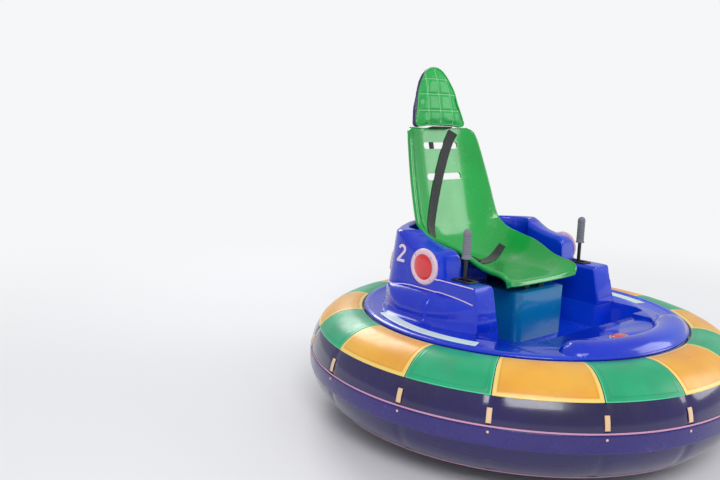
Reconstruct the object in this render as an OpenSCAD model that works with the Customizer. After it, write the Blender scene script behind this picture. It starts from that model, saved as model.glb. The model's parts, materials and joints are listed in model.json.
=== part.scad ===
// Round fairground bumper car with an inflated ring, two drive levers and a bucket seat.
// Millimetres. +Z is up, the front is -Y, the rider's right is -X.
// The origin lies on the floor below the ring's centre.

/* [Ring] */
// Outer radius of the inflated ring, over its rubbing band
ring_r = 800; // [780:1:850]
// Radius of the tube's rounded section, over its coloured panels
tube_r = 165; // [160:1:170]
// Height of the flat stretch between the section's upper and lower arcs
tube_flat = 20; // [10:1:26]
// Lowest point of the ring above the floor
ring_ground = 48; // [40:1:52]
// Thickness of the welded panels and of the rubbing band
skin_t = 2; // [1.5:0.1:3]
// Number of panel pairs round the ring
panel_pairs = 8; // [6:1:10]
// Angle that a yellow panel takes, the rest of a pair is green
yellow_angle = 24.3; // [18:0.1:26]
// Angle of the panels' lower edge above the level of the section's centre
panel_low_angle = 35.5; // [30:0.5:45]
// Height of the rubbing band
band_h = 60; // [40:1:70]

/* [Deck] */
// How far the deck's outer lip lies inside the middle of the tube
lip_inset = 37; // [30:1:45]
// How far the lip presses in below the ring's crown
lip_sink = 18; // [14:1:22]
// Free space between the lip and the ring's vinyl
lip_gap = 1.5; // [1:0.5:3]
// Wall of the moulded deck
deck_t = 6; // [4:0.5:8]
// Half the thickness of the rolled lip round the deck
bead_r = 9; // [7:0.5:10]
// Width of that rolled lip
lip_w = 32; // [24:1:40]
// Height of the pale trim strip below the lip
trim_h = 7; // [5:0.5:7]
// Width of the pale trim strip
trim_w = 12; // [8:1:16]
// Half the angle between the middles of the nose rim's round ends
nose_half_angle = 32; // [26:1:38]
// Height of the nose rim's crest above the deck
nose_h = 38; // [25:1:45]
// Width of the nose rim at its foot
nose_w = 118; // [100:1:130]
// Depth of the foot tray below the deck's top
tray_depth = 13; // [8:1:15]
// Distance of the tray's rear edge in front of the centre
tray_rear = 290; // [280:1:300]
// Half the width of the foot tray
tray_half_w = 310; // [290:1:330]
// Free space between the footwell's corners and the ring
well_gap = 2.6; // [2:0.1:6]
// Half the width of the footwell
well_half_w = 410; // [380:1:430]
// Depth of the footwell below the deck's top
well_depth = 90; // [80:1:94]
// Distance of the footwell's rear wall in front of the centre
well_rear = 140; // [134:1:146]
// Distance that the two foot channels reach behind the centre
channel_rear = 58; // [30:1:70]

/* [Cowl] */
// Half the distance between the cowl's inner walls
cowl_inner = 300; // [285:1:305]
// Width of a lever console
console_w = 100; // [90:1:105]
// Height of the consoles' top above the deck
console_h = 149; // [140:1:158]
// How much further forward a console's foot stands than its top edge
front_lean = 34; // [20:1:40]
// Width of a side pod
pod_w = 110; // [106:1:120]
// Distance of the pods' front step behind the centre
pod_front = 50; // [46:1:60]
// Height of the pods' top at that step, above the deck
pod_front_h = 247; // [235:1:260]
// Height of the cowl's top at its rear corners, above the deck
pod_rear_h = 296; // [286:1:310]
// Turn of the pods' front step in plan
step_turn = 8; // [0:1:10]
// Width of the pods' rounded shoulder
shoulder_w = 84; // [60:1:90]
// Drop of the top over that shoulder
shoulder_drop = 36; // [24:1:44]
// Height of the crease between wall and haunch, above the deck
crease_h = 105; // [98:1:112]
// How much lower the crease ends in front
crease_fall = 16; // [8:1:20]
// How far the haunch swells out of the wall
haunch_w = 56; // [40:1:64]
// Height of the haunch below the crease
haunch_h = 76; // [60:1:80]
// Width of the skirt that runs out from the haunch to the deck
skirt_w = 24; // [14:1:28]
// How much further out the rear wall's foot stands than its top
rear_lean = 36; // [24:1:50]
// How far the cowl's rear wall stands in front of the seat shell's top edge
rear_gap = 14; // [8:1:30]

/* [Pedestal] */
// Half the width of the seat's pedestal
pedestal_half_w = 140; // [120:1:150]
// Distance of the pedestal's front in front of the centre
pedestal_front = 100; // [90:1:105]
// Height of the pedestal's top above the deck
pedestal_h = 94; // [80:1:104]
// How far the pedestal reaches behind the centre
pedestal_rear = 170; // [150:1:190]
// Radius of the pedestal's upright edges
pedestal_edge_r = 30; // [20:1:40]

/* [Seat] */
// Half the width of the bucket at the hips
seat_half_w = 218; // [200:1:228]
// Height of the seat pan's upper face above the deck
pan_h = 137; // [133:1:148]
// Distance of the shell's top edge behind the centre
seat_reach = 486; // [470:1:500]
// Height of the shell's top edge above the pan
back_h = 525; // [500:1:540]
// Height of the shell's sides beside the hips
side_h = 100; // [90:1:104]
// Wall of the moulded seat shell
shell_t = 8; // [6:0.5:10]
// Radius of the rolled lip round the shell's sides
lip_r = 10; // [8:0.5:12]
// Width of the seat rails below the pan
rail_w = 30; // [20:1:40]
// Half the distance between the seat rails
rail_half_gap = 42; // [35:1:60]
// Width of the belt slots in the back
slot_w = 200; // [160:1:210]
// Height of the belt slots
slot_h = 28; // [20:1:32]
// Share of the back's height at which the two belt slots lie
slot_shares = [0.63, 0.87];
// Gap between the shell's top edge and the headrest
headrest_gap = 12; // [8:1:20]
// Height of the headrest pad along its face
headrest_h = 250; // [230:1:260]
// Width of the headrest pad at its foot
headrest_w = 285; // [260:1:300]
// Thickness of the headrest pad
headrest_t = 52; // [44:1:60]
// Backward lean of the headrest pad
headrest_lean = 13; // [8:0.5:16]
// Radius of the headrest's lower corners
headrest_foot_r = 18; // [12:1:24]
// Width of the belt's webbing
web_w = 48; // [40:1:50]
// Thickness of the belt's webbing
web_t = 2.4; // [1.5:0.1:3]
// Width of the belt's buckle
buckle_w = 60; // [50:1:70]
// Sideways place of the buckle
buckle_x = -60; // [-80:1:-40]
// Sideways place of the belt at the left shoulder
belt_left = 84; // [60:1:100]
// Sideways place of the belt at the right hip
belt_right = 160; // [140:1:170]
// Sideways place of the lap belt's ends
lap_reach = 170; // [150:1:176]

/* [Lamps] */
// Depth that a lamp's can reaches into the wall
can_depth = 30; // [24:1:34]
// Radius of a side lamp's bezel
side_lamp_r = 66; // [55:1:70]
// Radius of a side lamp's lens
side_lens_r = 46; // [36:1:50]
// How far a side lamp's bezel stands proud, its lens stands a little further
side_proud = 8; // [6:0.5:10]
// Distance of the side lamps behind the centre
side_lamp_y = 118; // [112:1:130]
// Height of the side lamps above the deck
side_lamp_h = 184; // [178:1:190]
// Radius of a rear lamp's bezel
rear_lamp_r = 45; // [35:1:50]
// Radius of a rear lamp's lens
rear_lens_r = 34; // [26:1:38]
// How far a rear lamp's bezel stands proud
rear_proud = 6; // [4:0.5:8]
// Height of the rear lamps above the deck
rear_lamp_h = 165; // [150:1:175]
// Radius of the nose lamp's lens
nose_lens_r = 36; // [30:1:40]
// Width of the ring round the nose lamp
nose_ring_w = 5; // [4:0.5:8]
// Distance between the nose lamp's ring and the nose rim
nose_lamp_gap = 3; // [2:1:20]

/* [Levers] */
// Distance of the lever pivots behind the centre
lever_y = -14; // [-20:1:-10]
// Half the distance between the two levers
lever_x = 338; // [334:1:345]
// Depth of the lever pivots below the consoles' top
lever_depth = 50; // [46:1:54]
// Radius of the lever rod
lever_rod_r = 7; // [5:0.5:8]
// Length of a lever from its pivot to the grip's top
lever_len = 235; // [200:1:260]
// Length of the grip
grip_len = 105; // [90:1:120]
// Radius of the grip
grip_r = 15; // [12:0.5:18]
// Angle that a lever swings each way
lever_swing = 20; // [15:1:22]

/* [Chassis] */
// Height of the pan's underside above the floor
pan_ground = 62; // [56:1:66]
// Thickness of the pan's steel
pan_t = 4; // [3:0.5:5]
// Height of the frame's underside above the floor
frame_z = 140; // [138:1:146]
// Height of the frame's tubes
frame_h = 40; // [30:1:44]
// Width of the frame's tubes
frame_w = 30; // [25:1:40]
// Half the distance between the middles of the frame's long tubes
frame_half_gap = 140; // [120:1:150]
// Width of the battery pack, across the car
battery_w = 330; // [300:1:340]
// Free space between the battery pack's corners and the pan's wall
battery_gap = 48; // [40:1:90]
// Free space above the battery pack
battery_head = 14.5; // [5:0.5:40]
// Distance between the tie-down holes across the car
tie_x = 460; // [420:1:480]
// Distance between the tie-down holes along the car
tie_y = 520; // [480:1:540]
// Radius of a tie-down hole
tie_hole_r = 6.5; // [4:0.5:8]

/* [Drive wheels] */
// Radius of a drive wheel
wheel_r = 100; // [96:1:104]
// Width of a drive wheel
wheel_w = 48; // [40:1:54]
// Half the distance between the middles of the drive wheels
track_half = 300; // [290:1:310]
// Radius of the drive wheel's hub
hub_r = 62; // [50:1:70]
// Radius of the drive axle
axle_r = 8.5; // [7:0.5:10]
// Radius of the drive motor
motor_r = 38; // [30:1:38]

/* [Casters] */
// Free space between the casters' openings and the pan's wall
caster_gap = 22; // [15:1:40]
// Radius of a caster wheel
caster_r = 50; // [45:1:52]
// Width of a caster wheel
caster_w = 32; // [25:1:36]
// Distance of the caster wheel's axle behind its swivel
caster_trail = 32; // [20:1:36]
// Width of a caster's plate, across the car
caster_plate_w = 100; // [80:1:110]
// Length of a caster's plate
caster_plate_len = 76; // [60:1:80]
// Radius of the caster wheel's axle
caster_axle_r = 5; // [4:0.5:6]

/* [Clearances] */
// Gap between curved faces that lie on each other
seat_gap = 0.3; // [0.2:0.05:0.5]
// Radial running clearance of an axle or pin in its bore
pin_gap = 0.05; // [0.02:0.01:0.08]
// Free space round a wheel in its cut-out
wheel_gap = 14; // [10:1:20]

/* [Hidden] */
$fn = 96;

// Ring
pair_angle = 360/panel_pairs;
tube_mid_r = ring_r - tube_r;
arc_low_z = ring_ground + tube_r;
arc_high_z = arc_low_z + tube_flat;
ring_top = arc_high_z + tube_r;
core_r = tube_r - skin_t - seat_gap;
core_inner_r = tube_mid_r - core_r;
band_mid_z = arc_low_z;

// Deck
deck_r = tube_mid_r - lip_inset;
lip_z = ring_top - lip_sink;
deck_z = lip_z + trim_h + 1.5*bead_r;
bead_z = deck_z - bead_r/2;
tray_z = deck_z - tray_depth;
nose_mid_r = deck_r - nose_w/2 - bead_r/2;
tray_r = deck_r - nose_w - 1;
nose_lamp_y = tray_r - nose_lamp_gap - nose_ring_w - nose_lens_r;
well_z = deck_z - well_depth;
well_under_z = well_z - deck_t;
well_rise = max(0, well_under_z - arc_high_z);
well_r = tube_mid_r - sqrt(core_r*core_r - well_rise*well_rise) - deck_t - well_gap;
wall_r = core_inner_r - seat_gap;

// Place in the tube's vinyl that the lip presses down, and the panels' upper edge outside it
seat_r = deck_r + 6;
panel_high_angle = acos((seat_r + skin_t - tube_mid_r)/tube_r);

// Cowl and seat
console_z = deck_z + console_h;
console_foot = well_rear + deck_t;
pod_front_z = deck_z + pod_front_h;
pod_rear_z = deck_z + pod_rear_h;
crease_z = deck_z + crease_h;
cowl_rear = seat_reach - rear_gap;
pedestal_z = deck_z + pedestal_h;
pan_z = deck_z + pan_h;
side_lamp_z = deck_z + side_lamp_h;
rear_lamp_z = deck_z + rear_lamp_h;
lever_pivot_z = console_z - lever_depth;

// Chassis
wall_in_r = wall_r - pan_t;
pan_top = pan_ground + pan_t;
frame_top = frame_z + frame_h;
battery_y = channel_rear + 22;
battery_h = deck_z - deck_t - frame_top - battery_head;
battery_len = sqrt(wall_in_r*wall_in_r - battery_w*battery_w/4) - battery_y - battery_gap;
caster_sweep = caster_trail + caster_r + wheel_gap;
caster_y = wall_in_r - caster_gap - caster_sweep;

function lerp(a, b, t) = a + (b - a)*t;

// Closed skin over sections that all have the same number of points and turn the same way. Where
// they are thin and curved, each end is closed by facets between the two long sides.
module loft(sections, thin = false) {
    n = len(sections[0]);
    last = (len(sections) - 1)*n;
    paired = [
        for (j = [0 : n/2 - 2])
            each [[j, j + 1, n - 2 - j], [j, n - 2 - j, n - 1 - j]]
    ];
    cap = thin ? paired : [[for (j = [0 : n - 1]) j]];
    sides = [
        for (i = [0 : len(sections) - 2], j = [0 : n - 1])
            let (a = i*n + j, b = i*n + (j + 1)%n)
                each [[a, b, b + n], [a, b + n, a + n]]
    ];
    near = [for (f = cap) [for (k = [len(f) - 1 : -1 : 0]) f[k]]];
    far = [for (f = cap) [for (k = f) last + k]];
    polyhedron([for (s = sections) each s], concat(near, sides, far));
}

// The piece and its twin on the other side of the car.
module both_sides() {
    children();
    mirror([1, 0, 0]) children();
}

// Box with upright rounded edges, standing on z = 0, from its near left corner.
module rounded_block(size, r) {
    linear_extrude(size[2]) union() {
        translate([r, 0]) square([size[0] - 2*r, size[1]]);
        translate([0, r]) square([size[0], size[1] - 2*r]);
        for (x = [r, size[0] - r], y = [r, size[1] - r])
            translate([x, y]) circle(r);
    }
}

// Section of the ring's tube, drawn in the plane of radius and height.
module tube_section(r) {
    translate([tube_mid_r, arc_low_z]) circle(r);
    translate([tube_mid_r, arc_high_z]) circle(r);
    translate([tube_mid_r - r, arc_low_z]) square([2*r, tube_flat]);
}

module skin_section() {
    difference() {
        tube_section(tube_r);
        tube_section(core_r + seat_gap);
    }
}

module ring_tube() {
    color([0.06, 0.04, 0.16]) rotate_extrude() difference() {
        tube_section(core_r);
        translate([0, lip_z - lip_gap]) square([seat_r, tube_r]);
    }
}

// One welded top panel, from its lower outer edge over the crown to below the deck's lip.
module panel(angle) {
    reach = tube_r*2;
    span = panel_high_angle - panel_low_angle;
    fan = [
        for (i = [0 : 4])
            let (a = panel_low_angle + i*span/4)
                [tube_mid_r + reach*cos(a), arc_high_z + reach*sin(a)]
    ];
    rotate_extrude(angle = angle) intersection() {
        skin_section();
        polygon(concat([[tube_mid_r, arc_high_z]], fan));
    }
}

module ring_panels_green() {
    color([0.0, 0.55, 0.30])
        for (i = [0 : panel_pairs - 1])
            rotate(-90 + yellow_angle/2 + i*pair_angle) panel(pair_angle - yellow_angle);
}

module ring_panels_yellow() {
    color([0.95, 0.62, 0.12])
        for (i = [0 : panel_pairs - 1])
            rotate(-90 - yellow_angle/2 + i*pair_angle) panel(yellow_angle);
}

module rub_band() {
    color([0.16, 0.11, 0.30])
        rotate_extrude() intersection() {
            skin_section();
            translate([tube_mid_r, band_mid_z - band_h/2]) square([2*tube_r, band_h]);
        }
}

// Plan of the footwell and its two foot channels, grown by g all round.
module well_outline(g) {
    intersection() {
        circle(well_r + g);
        translate([-well_half_w - g, -tray_rear - g])
            square([2*(well_half_w + g), tray_rear - well_rear + 2*g]);
    }
    translate([-cowl_inner + deck_t - g, -well_rear - g])
        square([2*(cowl_inner - deck_t + g), well_rear + channel_rear + 2*g]);
}

// Plan of the foot tray inside the nose rim.
module tray_outline(g) {
    intersection() {
        circle(tray_r + g);
        translate([-tray_half_w - g, -deck_r]) square([2*(tray_half_w + g), deck_r - tray_rear + deck_t]);
    }
}

// Rounded hump of the nose rim, from a distance beside its middle line outwards.
module nose_section(from, inset) {
    foot = deck_t/3;
    hump_r = (pow(nose_w/2, 2) + nose_h*nose_h)/(2*nose_h);
    intersection() {
        translate([0, nose_h - hump_r]) circle(hump_r - inset);
        translate([from, -foot]) square([nose_w - from, 2*nose_h]);
    }
}

// The rim's round ends stand a hair inside its arched length.
module nose_rim() {
    end_inset = 0.3;
    translate([0, 0, deck_z]) {
        rotate(-90 - nose_half_angle) rotate_extrude(angle = 2*nose_half_angle)
            translate([nose_mid_r, 0]) nose_section(-nose_w, 0);
        for (side = [-1, 1])
            rotate(-90 + side*nose_half_angle) translate([nose_mid_r, 0])
                rotate_extrude() nose_section(0, end_inset);
    }
}

module deck() {
    color([0.02, 0.16, 0.75]) difference() {
        union() {
            translate([0, 0, deck_z - deck_t]) cylinder(r = deck_r - lip_w/2, h = deck_t);
            rotate_extrude() translate([deck_r - lip_w/2, bead_z])
                scale([lip_w/(2*bead_r), 1]) circle(bead_r);
            nose_rim();
            translate([0, 0, tray_z - deck_t]) linear_extrude(tray_depth) tray_outline(deck_t);
            translate([0, 0, well_under_z]) linear_extrude(deck_z - well_under_z)
                well_outline(deck_t);
            translate([0, 0, well_under_z]) difference() {
                cylinder(r = wall_r, h = deck_z - well_under_z);
                translate([0, 0, -1]) cylinder(r = wall_r - deck_t, h = deck_z - well_under_z);
            }
        }
        translate([0, 0, tray_z]) linear_extrude(tray_depth + nose_h) tray_outline(0);
        translate([0, 0, well_z]) linear_extrude(deck_z) well_outline(0);
        translate([0, -nose_lamp_y, tray_z - tray_depth])
            cylinder(r = nose_lens_r + nose_ring_w + seat_gap, h = tray_depth + nose_h);
    }
}

module flange_trim() {
    color([0.92, 0.80, 0.95])
        translate([0, 0, bead_z - bead_r - trim_h]) difference() {
            cylinder(r = deck_r - bead_r/2, h = trim_h);
            translate([0, 0, -1]) cylinder(r = deck_r - bead_r/2 - trim_w, h = trim_h + 2);
        }
}

// Stations of the cowl's right half, from the console's front to the middle of the rear.
// Columns: outward x, share of the way from the pods' step to the rear, turn of the outward
// direction, width, height, share of the lean, of the haunch and of the round shoulder.
corner_x = cowl_inner + pod_w;
console_x = cowl_inner + console_w;
cowl_len = cowl_rear - pod_front;
function out_x(t) = lerp(console_x, corner_x, t);
function step_z(t) = lerp(console_z, pod_front_z, t);
function ramp_z(t) = lerp(pod_front_z, pod_rear_z, t);
cowl_rows = [
    [console_x, -(console_foot - front_lean + pod_front)/cowl_len, 0, console_w, console_z, 0, 0.07, 0],
    [console_x, -0.25, 0, console_w, console_z, 0, 0.55, 0],
    [console_x, -0.14, 0, console_w, console_z, 0, 0.78, 0],
    [console_x, 0, step_turn, console_w, console_z, 0, 0.94, 0],
    [out_x(0.4), 0.008, step_turn, lerp(console_w, pod_w, 0.4), step_z(0.12), 0, 0.95, 0.2],
    [out_x(0.9), 0.026, step_turn, pod_w, step_z(0.76), 0, 0.97, 0.7],
    [corner_x, 0.062, step_turn/2, pod_w, step_z(0.97), 0, 1, 1],
    [corner_x, 0.14, 0, pod_w, ramp_z(0.06), 0, 1, 1],
    [corner_x, 0.28, 0, pod_w, ramp_z(0.33), 0, 1, 1],
    [corner_x, 0.39, 0, pod_w, ramp_z(0.66), 0.05, 0.86, 0.75],
    [corner_x*0.995, 0.46, 10, pod_w*0.96, ramp_z(0.86), 0.3, 0.55, 0.35],
    [corner_x*0.976, 0.526, 28, pod_w*0.87, pod_rear_z, 0.6, 0.22, 0.12],
    [corner_x*0.932, 0.592, 45, pod_w*0.73, pod_rear_z, 0.9, 0.08, 0.1],
    [corner_x*0.839, 0.67, 52, pod_w*0.45, pod_rear_z, 1, 0.06, 0.1],
    [corner_x*0.702, 0.768, 54, pod_w*0.29, pod_rear_z, 1, 0.06, 0.1],
    [corner_x*0.4, 0.93, 68, pod_w*0.32, pod_rear_z, 1, 0.06, 0.1],
    [0, 1, 90, pod_w*0.36, pod_rear_z, 1, 0.06, 0.1]
];

// Points of one cowl section: up the inner wall, over the shoulder, down wall, haunch and skirt.
function cowl_profile(w, top, lean, haunch, round) =
    let (
        edge = min(18, w/3),
        over = min(lerp(12, shoulder_w, round), w - edge - 2),
        drop = lerp(10, shoulder_drop, round),
        crease = crease_z - crease_fall*(1 - haunch),
        low = crease - haunch_h*haunch,
        swell = haunch_w*haunch,
        skirt = skirt_w*(0.3 + 0.7*haunch),
        out = function (z) rear_lean*lean*(top - z)/(pod_rear_z - deck_z)
    )
    concat(
        [[-w, deck_z]],
        [for (a = [0 : 45 : 90]) [-w + edge - edge*cos(a), top - edge + edge*sin(a)]],
        [for (a = [90 : -18 : 0]) let (z = top - drop + drop*sin(a)) [-over + over*cos(a) + out(z), z]],
        [
            for (a = [30 : 20 : 90])
                let (z = low + (crease - low)*cos(a)/cos(30))
                    [out(z) + 0.5 + swell*(2*sin(a) - 1), z]
        ],
        [
            [out(deck_z) + swell + skirt*0.12, lerp(deck_z, low, 0.45)],
            [out(deck_z) + swell + skirt*0.45, lerp(deck_z, low, 0.12)],
            [out(deck_z) + swell + skirt, deck_z]
        ]
    );

// Forward shift of a point, which only the consoles' front face has.
function front_shift(row, z) = row == 0 ? front_lean*(console_z - z)/console_h : 0;

function cowl_section(row) =
    let (s = cowl_rows[row], y = pod_front + s[1]*cowl_len)
    [
        for (p = cowl_profile(s[3], s[4], s[5], s[6], s[7]))
            [-(s[0] + p[0]*cos(s[2])), y + p[0]*sin(s[2]) - front_shift(row, p[1]), p[1]]
    ];

// Places of the lamps' axes, which point out of the wall.
side_lamp_at = [corner_x, side_lamp_y, side_lamp_z];
rear_lamp_row = 13;
rear_lamp_share = 0.2;
rear_wall = [
    for (k = [0 : 5]) lerp(cowl_rows[rear_lamp_row][k], cowl_rows[rear_lamp_row + 1][k], rear_lamp_share)
];
rear_wall_turn = rear_wall[2];
rear_wall_out = rear_lean*rear_wall[5]*(pod_rear_z - rear_lamp_z)/(pod_rear_z - deck_z);
rear_lamp_at = [
    rear_wall[0] + rear_wall_out*cos(rear_wall_turn),
    pod_front + rear_wall[1]*cowl_len + rear_wall_out*sin(rear_wall_turn),
    rear_lamp_z
];
rear_wall_tilt = atan(rear_lean*rear_wall[5]/(pod_rear_z - deck_z));

module at_side_lamp() {
    translate(side_lamp_at) rotate([0, 90, 0]) children();
}

module at_rear_lamp() {
    translate(rear_lamp_at) rotate([0, 0, rear_wall_turn]) rotate([0, 90 - rear_wall_tilt, 0]) children();
}

// Half of the moulded cowl, the two halves join in the middle of the rear.
module cowl_half() {
    color([0.03, 0.12, 0.85]) difference() {
        loft([for (i = [0 : len(cowl_rows) - 1]) cowl_section(i)]);
        mirror([1, 0, 0]) {
            at_side_lamp() translate([0, 0, -can_depth])
                cylinder(r = side_lamp_r + seat_gap, h = can_depth*2);
            at_rear_lamp() translate([0, 0, -can_depth])
                cylinder(r = rear_lamp_r + seat_gap, h = can_depth*2);
            translate([lever_x - lever_well_w/2, lever_y - lever_well_len/2, lever_floor_z])
                cube([lever_well_w, lever_well_len, console_z]);
        }
    }
}

module cowl_right() { cowl_half(); }
module cowl_left() { mirror([1, 0, 0]) cowl_half(); }

// Lever well in each console, and the pivot that stands in it.
lever_well_w = 44;
lever_well_len = 78;
lever_ear_t = 5;
lever_ear_w = 20;
lever_foot_len = 40;
lever_hub_r = 13;
lever_hub_w = 18;
lever_pin_r = 5;
lever_floor_z = lever_pivot_z - lever_hub_r - 10;
plate_t = 4;
plate_border = 6;
slot_half_len = (console_z + plate_t - lever_pivot_z)*tan(lever_swing) + lever_rod_r/cos(lever_swing) + 5;

module lever_slot_plates() {
    color([0.04, 0.04, 0.05]) both_sides()
        translate([lever_x, lever_y, console_z]) difference() {
            translate([-lever_well_w/2 - plate_border, -lever_well_len/2 - plate_border, 0])
                rounded_block([lever_well_w + 2*plate_border, lever_well_len + 2*plate_border, plate_t], 10);
            translate([-lever_rod_r - 5, -slot_half_len, -1])
                rounded_block([2*lever_rod_r + 10, 2*slot_half_len, plate_t + 2], 5);
        }
}

module lever_brackets() {
    ear_h = lever_pivot_z - lever_floor_z;
    foot_t = 4;
    play = 1;
    pin_len = lever_hub_w + 2*(play + lever_ear_t);
    color([0.35, 0.36, 0.38]) both_sides()
        translate([lever_x, lever_y, lever_floor_z]) {
            translate([play - lever_well_w/2, -lever_foot_len/2, 0])
                cube([lever_well_w - 2*play, lever_foot_len, foot_t]);
            for (side = [-1, 1])
                translate([side*(lever_hub_w/2 + play + lever_ear_t/2) - lever_ear_t/2, 0, 0]) {
                    translate([0, -lever_ear_w/2, 0]) cube([lever_ear_t, lever_ear_w, ear_h]);
                    translate([0, 0, ear_h]) rotate([0, 90, 0])
                        cylinder(r = lever_ear_w/2, h = lever_ear_t);
                }
            translate([-pin_len/2, 0, ear_h]) rotate([0, 90, 0])
                cylinder(r = lever_pin_r, h = pin_len);
        }
}

module lever_rod(side) {
    color([0.05, 0.05, 0.06]) translate([side*lever_x, lever_y, lever_pivot_z]) difference() {
        union() {
            rotate([0, 90, 0]) translate([0, 0, -lever_hub_w/2])
                cylinder(r = lever_hub_r, h = lever_hub_w);
            cylinder(r = lever_rod_r, h = lever_len - 20);
        }
        rotate([0, 90, 0]) translate([0, 0, -lever_hub_w])
            cylinder(r = lever_pin_r + pin_gap, h = 2*lever_hub_w);
    }
}

module lever_grip(side) {
    groove = 1.5;
    color([0.45, 0.45, 0.48]) translate([side*lever_x, lever_y, lever_pivot_z + lever_len - grip_len])
        difference() {
            rotate_extrude() {
                square([grip_r, grip_len - grip_r]);
                intersection() {
                    translate([0, grip_len - grip_r]) circle(grip_r);
                    square([grip_r, grip_len]);
                }
                square([grip_r + 2, 5]);
            }
            translate([0, 0, -1]) cylinder(r = lever_rod_r + pin_gap, h = grip_len - 20 + 1);
            for (z = [16 : 9 : grip_len - grip_r - 6])
                translate([0, 0, z]) rotate_extrude() translate([grip_r, 0]) circle(groove, $fn = 24);
        }
}

module lever_rod_right() { lever_rod(-1); }
module lever_grip_right() { lever_grip(-1); }
module lever_rod_left() { lever_rod(1); }
module lever_grip_left() { lever_grip(1); }

module pedestal() {
    front_len = pedestal_front + channel_rear - deck_t/2;
    color([0.0, 0.42, 0.62]) union() {
        translate([-pedestal_half_w, -pedestal_front, well_z])
            rounded_block([2*pedestal_half_w, front_len, pedestal_z - well_z], pedestal_edge_r);
        translate([-pedestal_half_w, channel_rear - 2*pedestal_edge_r, deck_z])
            rounded_block(
                [2*pedestal_half_w, pedestal_rear - channel_rear + 2*pedestal_edge_r, pedestal_z - deck_z],
                pedestal_edge_r
            );
    }
}

module seat_rails() {
    inset = 42;
    rail_h = pan_z - shell_t - seat_gap - pedestal_z;
    color([0.2, 0.2, 0.22]) both_sides()
        translate([rail_half_gap - rail_w/2, inset - pedestal_front, pedestal_z])
            cube([rail_w, pedestal_front + pedestal_rear - 2*inset, rail_h]);
}

// Rows of the seat shell from its front edge to its top edge. Columns: share of its reach to the
// rear, share of its height, turn of the seating face, share of its half width and of its sides.
seat_rows = [
    [-0.185, -0.027, 50, 0.86, 0.12],
    [-0.169, -0.006, 29, 0.91, 0.27],
    [-0.123, 0, 4, 0.94, 0.37],
    [-0.041, 0, 0, 0.955, 0.42],
    [0.062, 0, 0, 0.97, 0.54],
    [0.165, 0, 0, 0.985, 0.76],
    [0.267, 0.002, 2, 1, 0.92],
    [0.391, 0.006, 6, 1.014, 1],
    [0.504, 0.023, 18, 1.025, 1.02],
    [0.617, 0.069, 38, 1.04, 0.98],
    [0.720, 0.149, 56, 1.05, 0.84],
    [0.778, 0.232, 67, 1.045, 0.66],
    [0.811, 0.316, 71, 1.03, 0.54],
    [0.893, 0.596, 72, 0.97, 0.44],
    [0.963, 0.857, 72.5, 0.88, 0.34],
    [0.984, 0.945, 73, 0.83, 0.27],
    [0.994, 0.979, 73, 0.79, 0.20],
    [1, 1, 73, 0.71, 0.12]
];
seat_stations = [
    for (r = seat_rows) [seat_reach*r[0], pan_z + back_h*r[1], r[2], seat_half_w*r[3], side_h*r[4]]
];
half_facets = 8;

// Height of the shell's section over its middle, at a share u of the half width, and on its facets.
function seat_rise(u, depth) = depth*pow(abs(u), 3.4);
function seat_face(u, depth) =
    let (k = floor(u*half_facets), part = u*half_facets - k)
        lerp(seat_rise(k/half_facets, depth), seat_rise((k + 1)/half_facets, depth), part);

function seat_profile(w, depth) =
    let (
        outer = [for (i = [-7 : 7]) let (u = i*0.96/7) [(w + 4)*u, seat_rise(u, depth) - shell_t]],
        lip = [
            for (a = [-75, -40, 10, 50, 85])
                [w + 0.4*lip_r + lip_r*cos(a), depth - 0.8*lip_r + 1.1*lip_r*sin(a)]
        ],
        inner = [
            for (i = [half_facets : -1 : -half_facets])
                let (u = i/half_facets)
                    [w*u, seat_rise(u, depth)]
        ]
    )
    concat(
        outer,
        lip,
        inner,
        [for (i = [4 : -1 : 0]) [-lip[i][0], lip[i][1]]]
    );

function seat_point(s, p) = [p[0], s[0] - p[1]*sin(s[2]), s[1] + p[1]*cos(s[2])];

// Place along the seat, counted in rows, where the back stands a height above the pan.
function back_place(rise) =
    lookup(rise/back_h, [for (i = [7 : len(seat_rows) - 1]) [seat_rows[i][1], i]]);

module belt_slot(rise) {
    through = 50;
    translate([0, seat_at(back_place(rise))[0], pan_z + rise]) rotate([90 + bar_lean, 0, 0])
        translate([0, 0, -through]) linear_extrude(2*through) {
            square([slot_w - slot_h, slot_h], center = true);
            for (x = [-1, 1]) translate([x*(slot_w - slot_h)/2, 0]) circle(slot_h/2);
        }
}

module seat_shell() {
    color([0.10, 0.75, 0.25]) difference() {
        loft([for (s = seat_stations) [for (p = seat_profile(s[3], s[4])) seat_point(s, p)]]);
        for (share = slot_shares) belt_slot(share*back_h);
    }
}

// Station at a place t along the seat, counted in whole and part stations.
function seat_at(t) =
    let (i = min(floor(t), len(seat_stations) - 2))
        [for (k = [0 : 4]) lerp(seat_stations[i][k], seat_stations[i + 1][k], t - i)];

// Point that lies off above the seat's face, at place t and sideways distance x.
function on_seat(t, x, off) =
    let (s = seat_at(t)) seat_point(s, [x, seat_face(x/s[3], s[4]) + off]);

// Flat webbing through pairs of edge points, lifted between two heights over the seat.
module webbing(edges) {
    low = 4*seat_gap;
    high = low + web_t;
    across = 3;
    loft([
        for (e = edges) concat(
            [for (k = [0 : across]) let (p = lerp(e[0], e[1], k/across)) on_seat(p[0], p[1], low)],
            [for (k = [across : -1 : 0]) let (p = lerp(e[0], e[1], k/across)) on_seat(p[0], p[1], high)]
        )
    ], thin = true);
}

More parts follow.
